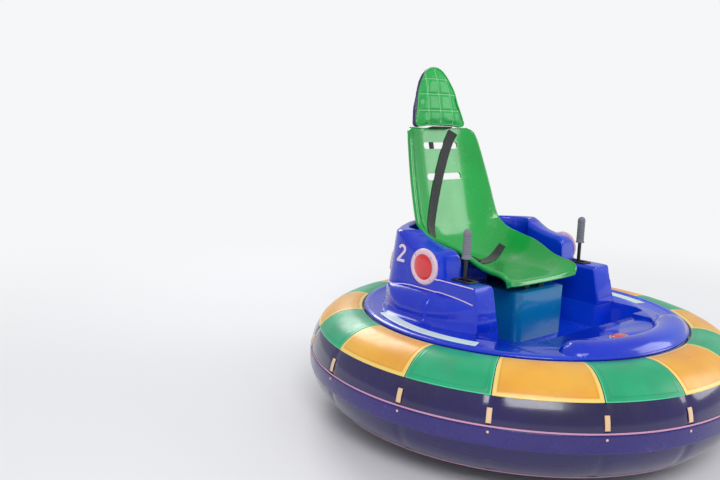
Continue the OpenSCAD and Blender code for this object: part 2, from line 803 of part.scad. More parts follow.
// Edge pairs of the belts: place along the seat and sideways distance, for either edge.
belt_top = back_h - 14;
belt_low = 0.11*back_h;
belt_bow = 0.8;
belt_steps = 24;
belt_slant = atan((belt_left + belt_right)/(belt_top - belt_low));
shoulder_edges = [
    for (i = [0 : belt_steps])
        let (
            rise = lerp(belt_top, belt_low, i/belt_steps),
            x = lerp(belt_left, -belt_right, pow(i/belt_steps, belt_bow)),
            side = web_w/2*cos(belt_slant),
            dip = web_w/2*sin(belt_slant)
        )
            [[back_place(rise + dip), x - side], [back_place(rise - dip), x + side]]
];
lap_steps = 12;
lap_row = 8.3;
lap_half = 0.38;
lap_edges = [
    for (i = [0 : lap_steps])
        let (u = 2*i/lap_steps - 1, t = lap_row - 0.95*cos(90*u))
            [[t + lap_half, lap_reach*u], [t - lap_half, lap_reach*u]]
];

module shoulder_belt() {
    color([0.03, 0.03, 0.04]) webbing(shoulder_edges);
}

module lap_belt() {
    color([0.03, 0.03, 0.04]) webbing(lap_edges);
}

module belt_buckle() {
    place = 7.35;
    size = [buckle_w, web_w, 14];
    lift = 4*seat_gap + web_t + 4;
    color([0.06, 0.06, 0.07]) translate(on_seat(place, buckle_x, lift)) rotate([seat_at(place)[2], 0, 0])
        translate([-size[0]/2, -size[1]/2, 0]) rounded_block(size, 8);
}

// The headrest pad is an arch that stands on rounded lower corners and leans back a little.
headrest_y = seat_reach - 28;
headrest_z = pan_z + back_h + headrest_gap;
module headrest_shape() {
    hull() {
        for (side = [-1, 1])
            translate([side*(headrest_w/2 - headrest_foot_r), headrest_foot_r])
                circle(headrest_foot_r, $fn = 32);
        polygon([
            for (a = [0 : 7.5 : 180])
                let (side = sign(cos(a))*pow(abs(cos(a)), 0.9), up = pow(sin(a), 1.45))
                    [headrest_w/2*side, max(headrest_foot_r, headrest_h*up)]
        ]);
    }
}

module at_headrest() {
    translate([0, headrest_y, headrest_z]) rotate([-headrest_lean, 0, 0]) children();
}

module headrest_pad() {
    color([0.10, 0.70, 0.22]) at_headrest() rotate([90, 0, 0]) translate([0, 0, -headrest_t])
        linear_extrude(headrest_t) headrest_shape();
}

// Two bars up the back of the shell, with a plate that the pad stands on.
bar_w = 24;
bar_x = 30;
bar_t = 5;
bar_foot = seat_stations[13];
bar_head = seat_stations[14];
bar_lean = atan((bar_head[0] - bar_foot[0])/(bar_head[1] - bar_foot[1]));

module headrest_bracket() {
    drop = 60;
    rise = 110;
    plate_y = 4;
    plate_w = 44;
    plate_half = bar_x + bar_w + 4;
    color([0.08, 0.08, 0.09]) {
        at_headrest() translate([-plate_half, plate_y, -bar_t]) cube([2*plate_half, plate_w, bar_t]);
        difference() {
            both_sides()
                translate([bar_x, bar_head[0], bar_head[1]]) rotate([-bar_lean, 0, 0])
                    translate([0, shell_t + seat_gap, -drop]) cube([bar_w, bar_t, drop + rise]);
            at_headrest() translate([-headrest_w, -headrest_t, -bar_t/2])
                cube([2*headrest_w, 3*headrest_t, headrest_h]);
        }
    }
}

// Lamps: each bezel is a can let into the wall, with its lens in front.
module lamp_can(r, lens_r, proud) {
    difference() {
        union() {
            translate([0, 0, -can_depth + seat_gap]) cylinder(r = r, h = can_depth);
            rotate_extrude() {
                square([r - proud, proud]);
                translate([r - proud, 0]) intersection() {
                    circle(proud);
                    square(proud);
                }
            }
        }
        translate([0, 0, -can_depth/2]) cylinder(r = lens_r + seat_gap, h = can_depth);
    }
}

module lamp_dome(r, depth, proud) {
    ball = (r*r + proud*proud)/(2*proud);
    intersection() {
        cylinder(r = r, h = depth + 2*proud);
        translate([0, 0, depth + proud - ball]) sphere(ball);
    }
}

// The nose lamp's ring is let into a hole of the foot tray.
module nose_lamp_ring() {
    floor_t = 3;
    proud = 8;
    difference() {
        translate([0, 0, -deck_t]) cylinder(r = nose_lens_r + nose_ring_w, h = deck_t + proud);
        translate([0, 0, floor_t]) cylinder(r = nose_lens_r + seat_gap, h = proud);
    }
}

module lamp_bezels() {
    color([0.95, 0.75, 0.85]) {
        both_sides() {
            at_side_lamp() lamp_can(side_lamp_r, side_lens_r, side_proud);
            at_rear_lamp() lamp_can(rear_lamp_r, rear_lens_r, rear_proud);
        }
        translate([0, -nose_lamp_y, tray_z]) nose_lamp_ring();
    }
}

module lamp_lenses() {
    color([0.9, 0.02, 0.08]) {
        both_sides() {
            at_side_lamp() translate([0, 0, -can_depth/2])
                lamp_dome(side_lens_r, (can_depth + side_proud)/2, side_proud + 3);
            at_rear_lamp() translate([0, 0, -can_depth/2])
                lamp_dome(rear_lens_r, can_depth/2 + rear_proud - 2, rear_proud + 3);
        }
        translate([0, -nose_lamp_y, tray_z + 3]) lamp_dome(nose_lens_r, 8, nose_lens_r/2);
    }
}

// Steel pan: a floor plate with wheel openings, and the round wall that the ring grips.
module chassis_pan() {
    color([0.07, 0.07, 0.08]) difference() {
        translate([0, 0, pan_ground]) cylinder(r = wall_r, h = well_under_z - pan_ground);
        translate([0, 0, pan_top]) cylinder(r = wall_in_r, h = well_under_z);
        both_sides()
            translate([track_half - wheel_w/2 - wheel_gap, -wheel_r - wheel_gap, 0])
                cube([wheel_w + 2*wheel_gap, 2*(wheel_r + wheel_gap), pan_top + 1]);
        for (y = [-caster_y, caster_y])
            translate([0, y, 0]) cylinder(r = caster_sweep, h = pan_top + 1);
        for (x = [-tie_x/2, tie_x/2], y = [-tie_y/2, tie_y/2])
            translate([x, y, 0]) cylinder(r = tie_hole_r, h = pan_top + 1);
    }
}

module frame() {
    long = 2*wall_r;
    caster_beam_w = 60;
    axle_beam_y = 45;
    color([0.12, 0.12, 0.14]) translate([0, 0, frame_z]) intersection() {
        cylinder(r = wall_in_r - seat_gap, h = frame_h);
        union() {
            for (x = [-frame_half_gap, frame_half_gap])
                translate([x - frame_w/2, -long/2, 0]) cube([frame_w, long, frame_h]);
            for (y = [-caster_y, caster_y])
                translate([-frame_half_gap, y - caster_beam_w/2, 0])
                    cube([2*frame_half_gap, caster_beam_w, frame_h]);
            for (y = [-axle_beam_y, axle_beam_y])
                translate([-gearbox_out, y - frame_w/2, 0]) cube([2*gearbox_out, frame_w, frame_h]);
        }
    }
}

module battery_pack() {
    color([0.10, 0.10, 0.11]) translate([-battery_w/2, battery_y, frame_top])
        cube([battery_w, battery_len, battery_h]);
}

// Gearbox with the bearing boss that carries the drive axle.
gearbox_out = track_half - wheel_w/2 - wheel_gap - 8;
gearbox_w = 44;
gearbox_len = 120;
boss_r = 24;
boss_len = 14;

module gearboxes() {
    color([0.50, 0.51, 0.53]) both_sides() difference() {
        union() {
            translate([gearbox_out - gearbox_w, -gearbox_len/2, pan_top])
                cube([gearbox_w, gearbox_len, frame_z - pan_top]);
            translate([gearbox_out, 0, wheel_r]) rotate([0, 90, 0]) cylinder(r = boss_r, h = boss_len);
        }
        translate([gearbox_out - gearbox_w/2, 0, wheel_r]) rotate([0, 90, 0])
            cylinder(r = axle_r + pin_gap, h = gearbox_w);
    }
}

module motors() {
    inner_x = 50;
    fit_r = min(motor_r, wheel_r - pan_top, frame_z - wheel_r) - 0.5;
    color([0.15, 0.15, 0.17]) both_sides()
        translate([inner_x, 0, wheel_r]) rotate([0, 90, 0])
            cylinder(r = fit_r, h = gearbox_out - gearbox_w - inner_x);
}

module drive_axle(side) {
    start = gearbox_out - gearbox_w/2 + 1;
    color([0.60, 0.61, 0.63]) translate([side*start, 0, wheel_r]) rotate([0, side*90, 0])
        cylinder(r = axle_r, h = track_half + wheel_w/2 + 6 - start);
}

module drive_hub(side) {
    web = 12;
    color([0.55, 0.56, 0.58]) translate([side*track_half, 0, wheel_r]) rotate([0, side*90, 0])
        difference() {
            translate([0, 0, -wheel_w/2 + 2]) cylinder(r = hub_r, h = wheel_w - 4);
            for (z = [-1, 1])
                translate([0, 0, z*(wheel_w/2 + web/2) - wheel_w/2]) difference() {
                    cylinder(r = hub_r - 8, h = wheel_w);
                    cylinder(r = 22, h = wheel_w);
                }
            cylinder(r = axle_r + pin_gap, h = 2*wheel_w, center = true);
        }
}

module drive_tyre(side) {
    edge = 8;
    inner_r = hub_r + seat_gap;
    color([0.06, 0.06, 0.06]) translate([side*track_half, 0, wheel_r]) rotate([0, side*90, 0])
        rotate_extrude() {
            translate([inner_r, -wheel_w/2]) square([wheel_r - edge - inner_r, wheel_w]);
            translate([inner_r, edge - wheel_w/2]) square([wheel_r - inner_r, wheel_w - 2*edge]);
            for (z = [-1, 1]) translate([wheel_r - edge, z*(wheel_w/2 - edge)]) circle(edge);
        }
}

module drive_axle_right() { drive_axle(-1); }
module drive_hub_right() { drive_hub(-1); }
module drive_tyre_right() { drive_tyre(-1); }
module drive_axle_left() { drive_axle(1); }
module drive_hub_left() { drive_hub(1); }
module drive_tyre_left() { drive_tyre(1); }

// Casters: a plate bolted under the frame, a swivelling fork and its wheel.
caster_plate_t = 5;
kingpin_r = 8;
fork_t = 4;
fork_top = frame_z - caster_plate_t - 6;
fork_in = caster_w/2 + 4;

module caster_plates() {
    nut_h = 9;
    plate_z = frame_z - caster_plate_t;
    color([0.62, 0.63, 0.65]) for (y = [-caster_y, caster_y]) translate([0, y, 0]) {
        translate([-caster_plate_w/2, -caster_plate_len/2, plate_z])
            cube([caster_plate_w, caster_plate_len, caster_plate_t]);
        translate([0, 0, fork_top - fork_t - nut_h/2])
            cylinder(r = kingpin_r, h = plate_z - fork_top + fork_t + nut_h/2 + 1);
        translate([0, 0, fork_top + seat_gap]) cylinder(r = 3*kingpin_r, h = plate_z - fork_top - seat_gap);
        translate([0, 0, fork_top - fork_t - nut_h]) cylinder(r = 1.5*kingpin_r, h = nut_h - seat_gap);
    }
}

module caster_fork(y) {
    leg_w = 34;
    eye_r = 12;
    crown_r = fork_in + fork_t + 8;
    color([0.62, 0.63, 0.65]) translate([0, y, 0]) difference() {
        union() {
            translate([0, 0, fork_top - fork_t]) cylinder(r = crown_r, h = fork_t);
            translate([-fork_in - fork_t, -leg_w/2, fork_top - fork_t])
                cube([2*(fork_in + fork_t), leg_w + caster_trail/2, fork_t]);
            for (side = [-1, 1])
                translate([side*(fork_in + fork_t/2), 0, 0]) rotate([90, 0, 90])
                    linear_extrude(fork_t, center = true) union() {
                        polygon([
                            [-leg_w/2, fork_top], [leg_w/2 + caster_trail/2, fork_top],
                            [caster_trail + eye_r, caster_r], [caster_trail - eye_r, caster_r]
                        ]);
                        translate([caster_trail, caster_r]) circle(eye_r);
                    }
        }
        translate([0, 0, fork_top - fork_t - 1]) cylinder(r = kingpin_r + pin_gap, h = fork_t + 2);
        translate([0, caster_trail, caster_r]) rotate([0, 90, 0])
            cylinder(r = caster_axle_r + pin_gap, h = 4*fork_in, center = true);
    }
}

module caster_axle(y) {
    color([0.45, 0.46, 0.48]) translate([0, y + caster_trail, caster_r]) rotate([0, 90, 0]) {
        cylinder(r = caster_axle_r, h = 2*(fork_in + fork_t), center = true);
        for (z = [-1, 1]) translate([0, 0, z*(fork_in + fork_t + 2)]) cylinder(r = 8, h = 4, center = true);
    }
}

module caster_wheel(y) {
    color([0.20, 0.20, 0.21]) translate([0, y + caster_trail, caster_r]) rotate([0, 90, 0])
        rotate_extrude() difference() {
            union() {
                translate([0, -caster_w/2]) square([caster_r - 6, caster_w]);
                translate([0, -caster_w/2 + 6]) square([caster_r, caster_w - 12]);
                for (z = [-1, 1]) translate([caster_r - 6, z*(caster_w/2 - 6)]) circle(6);
                translate([0, -fork_in + 1]) square([12, 2*fork_in - 2]);
            }
            translate([-1, -caster_w]) square([1 + caster_axle_r + pin_gap, 2*caster_w]);
        }
}

module caster_fork_front() { caster_fork(-caster_y); }
module caster_axle_front() { caster_axle(-caster_y); }
module caster_wheel_front() { caster_wheel(-caster_y); }
module caster_fork_rear() { caster_fork(caster_y); }
module caster_axle_rear() { caster_axle(caster_y); }
module caster_wheel_rear() { caster_wheel(caster_y); }

ring_tube();
ring_panels_green();
ring_panels_yellow();
rub_band();
deck();
flange_trim();
cowl_right();
cowl_left();
pedestal();
lamp_bezels();
lamp_lenses();
lever_slot_plates();
lever_brackets();
lever_rod_right();
lever_grip_right();
lever_rod_left();
lever_grip_left();
seat_rails();
seat_shell();
headrest_bracket();
headrest_pad();
shoulder_belt();
lap_belt();
belt_buckle();
chassis_pan();
frame();
battery_pack();
gearboxes();
motors();
drive_axle_right();
drive_hub_right();
drive_tyre_right();
drive_axle_left();
drive_hub_left();
drive_tyre_left();
caster_plates();
caster_fork_front();
caster_axle_front();
caster_wheel_front();
caster_fork_rear();
caster_axle_rear();
caster_wheel_rear();
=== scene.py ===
"""Looks of a round fairground bumper car: inflated ring, moulded body, bucket seat, levers and drive.

Metres, in the model's own frame: +Z is up, the front is -Y, the rider's right is -X, and the origin
lies on the floor below the ring's centre. New pieces are grids of points worked out with numpy, and
each shape's docstring gives its formula in words.
"""
import json
import math

import bmesh
import bpy
import numpy as np
from mathutils import Matrix, Vector

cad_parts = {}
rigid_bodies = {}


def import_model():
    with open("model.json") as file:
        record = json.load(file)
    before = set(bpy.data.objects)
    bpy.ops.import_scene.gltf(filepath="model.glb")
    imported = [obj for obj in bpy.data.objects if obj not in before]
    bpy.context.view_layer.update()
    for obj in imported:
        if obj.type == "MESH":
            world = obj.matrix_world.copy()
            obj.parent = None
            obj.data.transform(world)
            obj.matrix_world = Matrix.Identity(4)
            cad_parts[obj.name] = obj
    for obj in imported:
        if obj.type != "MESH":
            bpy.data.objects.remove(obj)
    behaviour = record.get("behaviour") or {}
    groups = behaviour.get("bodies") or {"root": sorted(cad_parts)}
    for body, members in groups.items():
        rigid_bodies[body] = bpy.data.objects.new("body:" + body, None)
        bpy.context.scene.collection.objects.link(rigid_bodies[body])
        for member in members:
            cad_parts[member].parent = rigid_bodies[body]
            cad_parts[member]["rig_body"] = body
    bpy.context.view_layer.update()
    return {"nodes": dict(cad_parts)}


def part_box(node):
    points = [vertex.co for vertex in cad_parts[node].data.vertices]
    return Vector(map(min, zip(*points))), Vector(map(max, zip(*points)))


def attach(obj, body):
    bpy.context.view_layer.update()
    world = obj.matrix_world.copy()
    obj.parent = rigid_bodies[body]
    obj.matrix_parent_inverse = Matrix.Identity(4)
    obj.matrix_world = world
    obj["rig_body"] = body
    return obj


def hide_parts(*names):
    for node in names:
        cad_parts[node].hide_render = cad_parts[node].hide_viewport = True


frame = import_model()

TAU = 2*math.pi
WELD = 2e-6

# Ring, from the frame's own boxes
band_low, band_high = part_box("rub_band")
tube_low, tube_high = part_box("ring_tube")
TUBE_FLAT = 0.02
CORE_R = (tube_high.z - tube_low.z - TUBE_FLAT)/2
RING_MID = tube_high.x - CORE_R
TUBE_Z = (tube_high.z + tube_low.z)/2
SKIN_GAP = 0.0003
SKIN_R = CORE_R + SKIN_GAP
SKIN_T = band_high.x - RING_MID - SKIN_R
PAIRS = 8
YELLOW = math.radians(24.3)
PAIR = TAU/PAIRS
PANEL_GIRTH = (math.radians(35.5), math.radians(100.1))
PANEL_GAP = 0.0012
SEAM_DIP, SEAM_DIP_W = 0.0035, 0.012
PUCKER, PUCKER_REACH = 0.0008, 0.05
WELD_LINE = 0.0155
# Pale strip and dot at each seam: painted highlights of the seam puckers
HIGHLIGHT_STRIP_W = 0.013
HIGHLIGHT_STRIP_Z = (0.254, 0.297)
HIGHLIGHT_DOT_Z = 0.236
LOW_LINE_Z = 0.073
LINE_H = 0.004
LIP_SEAT_R, LIP_SEAT_Z = 0.604, 0.3785

# Deck
DECK_Z = 0.4005
TRAY_Z = 0.3875

# Cowl
COWL_INNER = 0.300
CONSOLE_W = 0.100
CONSOLE_Z = 0.5495
CONSOLE_FOOT = 0.146
FRONT_LEAN = 0.034
FRONT_BULGE = 0.006
POD_W = 0.110
POD_FRONT = 0.050
POD_FRONT_Z = 0.6475
POD_REAR_Z = 0.6965
STEP_TURN = 8
SHOULDER_W = 0.084
SHOULDER_DROP = 0.036
CREASE_Z = 0.5055
CREASE_FALL = 0.016
HAUNCH_W = 0.056
HAUNCH_H = 0.076
SKIRT_W = 0.024
REAR_LEAN = 0.036
COWL_LEN = 0.422
# The two stations beside the rear lamp: shares of the corner's x and of the cowl's length, and turn
REAR_NEAR = np.array([0.839, 0.67, 52])
REAR_FAR = np.array([0.702, 0.768, 54])
CONSOLE_X = COWL_INNER + CONSOLE_W
CORNER_X = COWL_INNER + POD_W
LEVER_AT = (0.338, -0.014)
LEVER_WELL = (0.044, 0.078)
# Radius of the pale tubes that are painted highlights along the cowl's crease and console edge
HIGHLIGHT_LINE_R = 0.0022
NUMERAL_AT = (0.238, 0.615)
NUMERAL_H = 0.066

# Lamps: radius of bezel and lens, how far the bezel stands proud
SIDE_LAMP = (0.066, 0.046, 0.008)
REAR_LAMP = (0.045, 0.034, 0.006)
NOSE_LAMP = (0.041, 0.036, 0.008)
CAN_DEPTH = 0.030
LENS_PLAY = 0.0003
SIDE_LAMP_AT = (0.118, 0.5845)
REAR_LAMP_Z = 0.5655
REAR_LAMP_SHARE = 0.2
NOSE_LAMP_Y = 0.435

# Seat
PAN_Z = 0.5375
SEAT_REACH = 0.486
BACK_H = 0.525
SEAT_HALF = 0.218
SIDE_H = 0.100
SHELL_T = 0.008
LIP_R = 0.010
SLOT_W = 0.200
SLOT_H = 0.028
SLOT_SHARES = (0.63, 0.87)
SLOT_TILT = math.radians(13.94)
SIDE_POWER = 3.4
WEB_T = 0.0024
WEB_W = 0.048
WEB_LIFT = 0.0012
SHOULDER_RUN, LAP_RUN = 0.56, 0.39
BELT_TOP, BELT_LOW = BACK_H - 0.014, 0.11*BACK_H
BELT_LEFT, BELT_RIGHT, BELT_BOW = 0.084, 0.160, 0.8
BELT_RISE, BELT_SIDE = 0.0114, 0.0211
LAP_ROW, LAP_DIP, LAP_HALF, LAP_REACH = 8.3, 0.95, 0.38, 0.170
BUCKLE = (0.060, 0.048, 0.014)
BUCKLE_PLACE, BUCKLE_LIFT = (7.35, -0.060), 0.0076

# Headrest
HEADREST_AT = (0.458, 1.0745)
HEADREST_LEAN = math.radians(13)
HEADREST_H = 0.250
HEADREST_W = 0.285
HEADREST_T = 0.052
QUILT_ROWS = (0.066, 0.134, 0.198)
QUILT_X = 0.070
QUILT_BEND = -0.30
QUILT_W = 0.0055
QUILT_DEPTH = 0.0060
NET_SIZE = 0.005
AIR_PRESSURE, AIR_FRAMES, AIR_CAP = 4.0, 20, 0.008
PIPING_R = 0.0034
PIPING_DEPTH = 0.0140
CUSHION_MIDDLE = 0.42*HEADREST_H

# Drive
WHEEL_R = 0.100
WHEEL_W = 0.048
HUB_R = 0.062
TYRE_ROUND, TYRE_ROUND_SHARE = 0.012, 0.38
GROOVES, GROOVE_W, GROOVE_DEPTH = (-0.010, 0, 0.010), 0.0016, 0.0022
SIPES, SIPE_DEPTH = 36, 0.0020

# Stripe on the flange: turns from straight sideways and radii
STRIPE_TURNS = (-24, 26)
STRIPE_RADII = (0.512, 0.556)


def lerp(a, b, t):
    return a + (b - a)*t


def arc(width, height, start, end, count):
    """Points of an ellipse with those half axes, from one angle in degrees to another."""
    turn = np.radians(np.linspace(start, end, count))
    return np.stack([width*np.cos(turn), height*np.sin(turn)], -1)


def bell(distance, width):
    """1 at no distance, dying away on both sides."""
    return np.exp(-(distance/width)**2)


def quarter_round(share):
    """0 at share 0, then up a quarter circle to 1 at share 1 and beyond."""
    return np.sqrt(np.clip(1 - (1 - np.clip(share, 0, 1))**2, 0, 1))


def path_length(points):
    """Distance along a line of points, at each of them."""
    return np.concatenate([[0], np.cumsum(np.linalg.norm(np.diff(points, axis=0), axis=1))])


def through(knots, values, at, tight=False):
    """Curve through the values at rising knots, in cubic pieces. A knot's slope is the weighted mean of
    the slopes beside it, or with tight their harmonic mean, which never swings past a value."""
    knots, values, at = (np.asarray(x, float) for x in (knots, values, at))
    step = np.diff(knots)
    slope = np.diff(values, axis=0)/step[:, None]
    before, after = slope[:-1], slope[1:]
    gap_before, gap_after = step[:-1, None], step[1:, None]
    if tight:
        product = before*after
        safe = np.where(product > 0, before + after, 1)
        inner = np.where(product > 0, 2*product/safe, 0)
    else:
        inner = (before*gap_after + after*gap_before)/(gap_before + gap_after)
    slopes = np.vstack([slope[:1], inner, slope[-1:]])
    i = np.clip(np.searchsorted(knots, at, side="right") - 1, 0, len(step) - 1)
    t = ((at - knots[i])/step[i])[:, None]
    width = step[i][:, None]
    return (
        values[i]*(1 + 2*t)*(1 - t)**2
        + slopes[i]*width*t*(1 - t)**2
        + values[i + 1]*t*t*(3 - 2*t)
        + slopes[i + 1]*width*t*t*(t - 1)
    )


def axes_to(direction):
    """Turning matrix whose third axis points along the direction."""
    z = np.asarray(direction, float)/np.linalg.norm(direction)
    ref = np.array([0, 0, 1.0]) if abs(z[2]) < 0.95 else np.array([0, 1.0, 0])
    x = np.cross(ref, z)
    x /= np.linalg.norm(x)
    return np.stack([x, np.cross(z, x), z], 1)


def revolve(profile, steps, at=(0, 0, 0), along=(0, 0, 1)):
    """Profile of radius and height carried round an axis that stands at a point along a direction."""
    turn = np.linspace(0, TAU, steps + 1)[:, None]
    r, h = np.asarray(profile, float).T
    points = np.stack([np.cos(turn)*r, np.sin(turn)*r, np.ones_like(turn)*h], -1)
    return points @ axes_to(along).T + np.asarray(at, float)


def low_dome(at, along, radius, height):
    """Low round dome: a quarter of a circle, flattened, carried round its axis."""
    dome = arc(radius, height, 0, 90, 6)
    return revolve(np.vstack([[0, -height], [radius, -height], dome]), 14, at, along)


def tube(path, radius, closed=False):
    """Round tube: a circle carried along a path, its first side kept level with a fixed direction."""
    sides = 10
    if closed:
        path = np.vstack([path, path[:1]])
        ahead = np.roll(path[:-1], -1, 0) - np.roll(path[:-1], 1, 0)
        ahead = np.vstack([ahead, ahead[:1]])
    else:
        ahead = np.gradient(path, axis=0)
    ahead /= np.linalg.norm(ahead, axis=1, keepdims=True)
    spread = np.linalg.svd(path - path.mean(0))[2][2]
    side = np.cross(ahead, spread)
    side /= np.linalg.norm(side, axis=1, keepdims=True)
    up = np.cross(side, ahead)
    turn = np.linspace(0, TAU, sides + 1)[None, :, None]
    body = path[:, None] + radius*(np.cos(turn)*side[:, None] + np.sin(turn)*up[:, None])
    if closed:
        return body
    ends = [np.repeat(p[None, None], sides + 1, 1) for p in (path[0], path[-1])]
    return np.concatenate([ends[0], body, ends[1]])


def rounded_box(size, radius, at=(0, 0, 0), turning=np.eye(3), steps=4):
    """Box with round edges: each direction of a sphere, moved out to the box corner on its side."""
    quarter = np.linspace(0, 90, steps + 1)
    turn = np.concatenate([quarter + 90*k for k in range(4)] + [[360.0]])
    sx = np.repeat([1, -1, -1, 1, 1], [steps + 1]*4 + [1])
    sy = np.repeat([1, 1, -1, -1, 1], [steps + 1]*4 + [1])
    rise = np.concatenate([quarter - 90, quarter])
    sz = np.repeat([-1, 1], steps + 1)
    half = np.asarray(size, float)/2 - radius
    turn, rise = np.radians(turn), np.radians(rise)[:, None]
    body = np.stack([
        sx*half[0] + radius*np.cos(rise)*np.cos(turn),
        sy*half[1] + radius*np.cos(rise)*np.sin(turn),
        sz[:, None]*half[2] + radius*np.sin(rise) + 0*turn,
    ], -1)
    poles = [np.tile([0, 0, s*(half[2] + radius)], (1, len(turn), 1)) for s in (-1, 1)]
    return np.concatenate([poles[0], body, poles[1]]) @ np.asarray(turning).T + np.asarray(at, float)


def ends_in(count):
    """Rising values from 0 to 1 that crowd together towards both ends."""
    t = np.linspace(0, 1, count)
    return lerp(t, (1 - np.cos(math.pi*t))/2, 0.88)


def plate(face, rows, cols, thickness, edge, lift=0.0, relief=None, rim_uv=False):
    """Closed plate on a surface: face(u, v) gives its points, outward directions, length and width.
    The top falls to the bottom along a quarter round as wide as edge, all round the border. A relief
    adds height by the distance from the border. The surface coordinates are metres along and across,
    or with rim_uv the distance from the border and metres along."""
    u, v = np.meshgrid(ends_in(rows), ends_in(cols), indexing="ij")
    points, outward, length, width = face(u, v)
    inwards = np.minimum(np.minimum(u, 1 - u)*length, np.minimum(v, 1 - v)*width)
    rise = thickness*quarter_round(inwards/edge)
    if relief:
        rise = rise + relief(inwards)
    uv = np.stack([inwards if rim_uv else v*width, u*length], -1)
    top = np.concatenate([points + outward*(lift + rise)[..., None], uv], -1)
    bottom = np.concatenate([points + outward*lift, uv], -1)
    return [top, bottom]


def mirrored(grids):
    """The grids and their twins on the other side of the car."""
    flip = np.array([-1, 1, 1])
    return list(grids) + [np.concatenate([g[..., :3]*flip, g[..., 3:]], -1) for g in grids]


def mesh_from(name, grids):
    """Mesh of several grids of points. Columns after the third are surface coordinates."""
    points, quads, uvs, start = [], [], [], 0
    for grid in grids:
        rows, cols = grid.shape[:2]
        index = start + np.arange(rows*cols).reshape(rows, cols)
        quads.append(np.stack([index[:-1, :-1], index[1:, :-1], index[1:, 1:], index[:-1, 1:]], -1))
        points.append(grid[..., :3].reshape(-1, 3))
        flat = grid[..., 3:].reshape(rows*cols, -1)
        uvs.append(flat if flat.shape[1] else np.zeros((rows*cols, 2)))
        start += rows*cols
    points, uvs = np.concatenate(points), np.concatenate(uvs)
    quads = np.concatenate([q.reshape(-1, 4) for q in quads]).astype(np.int32)
    mesh = bpy.data.meshes.new(name)
    mesh.vertices.add(len(points))
    mesh.vertices.foreach_set("co", points.astype(np.float32).ravel())
    mesh.loops.add(quads.size)
    mesh.loops.foreach_set("vertex_index", quads.ravel())
    mesh.polygons.add(len(quads))
    mesh.polygons.foreach_set("loop_start", np.arange(len(quads), dtype=np.int32)*4)
    mesh.update(calc_edges=True)
    layer = mesh.uv_layers.new(name="UVMap")
    layer.data.foreach_set("uv", uvs[quads.ravel()].astype(np.float32).ravel())
    return mesh


def closed_mesh(name, grids):
    """Mesh of closed grids: points that meet are merged and the faces look outwards."""
    mesh = mesh_from(name, grids)
    shape = bmesh.new()
    shape.from_mesh(mesh)
    bmesh.ops.remove_doubles(shape, verts=shape.verts, dist=WELD)
    bmesh.ops.dissolve_degenerate(shape, edges=shape.edges, dist=WELD)
    bmesh.ops.recalc_face_normals(shape, faces=shape.faces)
    shape.to_mesh(mesh)
    shape.free()
    return mesh


def shade(mesh, angle):
    """Smooth shading with creases where faces meet at more than the angle, in degrees."""
    mesh.polygons.foreach_set("use_smooth", np.ones(len(mesh.polygons), bool))
    mesh.set_sharp_from_angle(angle=math.radians(angle))
    mesh.update()


def settle(obj):
    """Makes the result of an object's modifiers its own mesh."""
    graph = bpy.context.evaluated_depsgraph_get()
    graph.update()
    mesh = bpy.data.meshes.new_from_object(obj.evaluated_get(graph))
    obj.modifiers.clear()
    obj.data = mesh
    return obj


def object_of(name, mesh):
    """Object at the origin in the scene."""
    obj = bpy.data.objects.new(name, mesh)
    bpy.context.scene.collection.objects.link(obj)
    return obj


def cut(obj, cutters):
    """Takes closed grids out of an object."""
    tool = object_of("cutter", closed_mesh("cutter", cutters))
    modifier = obj.modifiers.new("cut", "BOOLEAN")
    modifier.operation = "DIFFERENCE"
    modifier.solver = "EXACT"
    modifier.object = tool
    settle(obj)
    bpy.data.objects.remove(tool)


def dress(obj, finish, body="chassis", stands_for=(), angle=40):
    """Gives a piece its finish, its shading, the body that it rides on and the solids that it stands for.
    Its slot holds the finish."""
    obj.data.materials.clear()
    obj.data.materials.append(FINISH[finish])
    shade(obj.data, angle)
    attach(obj, body)
    if stands_for:
        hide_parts(*stands_for)
    return obj


def piece(name, grids, finish, body="chassis", stands_for=(), angle=40, cutters=()):
    """One object from grids of points."""
    obj = object_of(name, closed_mesh(name, grids))
    if cutters:
        cut(obj, cutters)
    return dress(obj, finish, body, stands_for, angle)


def eased(node, finish, width):
    """Stands for a solid: its copy with flat regions joined and its sharp edges rounded."""
    source = frame["nodes"][node]
    mesh = source.data.copy()
    shape = bmesh.new()
    shape.from_mesh(mesh)
    bmesh.ops.remove_doubles(shape, verts=shape.verts, dist=1e-5)
    bmesh.ops.dissolve_limit(
        shape, angle_limit=math.radians(0.5), verts=shape.verts, edges=shape.edges)
    shape.to_mesh(mesh)
    shape.free()
    obj = object_of(node + "_eased", mesh)
    bevel = obj.modifiers.new("ease", "BEVEL")
    bevel.width = width
    bevel.segments = 2
    bevel.limit_method = "ANGLE"
    bevel.angle_limit = math.radians(30)
    settle(obj)
    return dress(obj, finish, body=source["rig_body"], stands_for=(node,), angle=35)


# Shader graphs

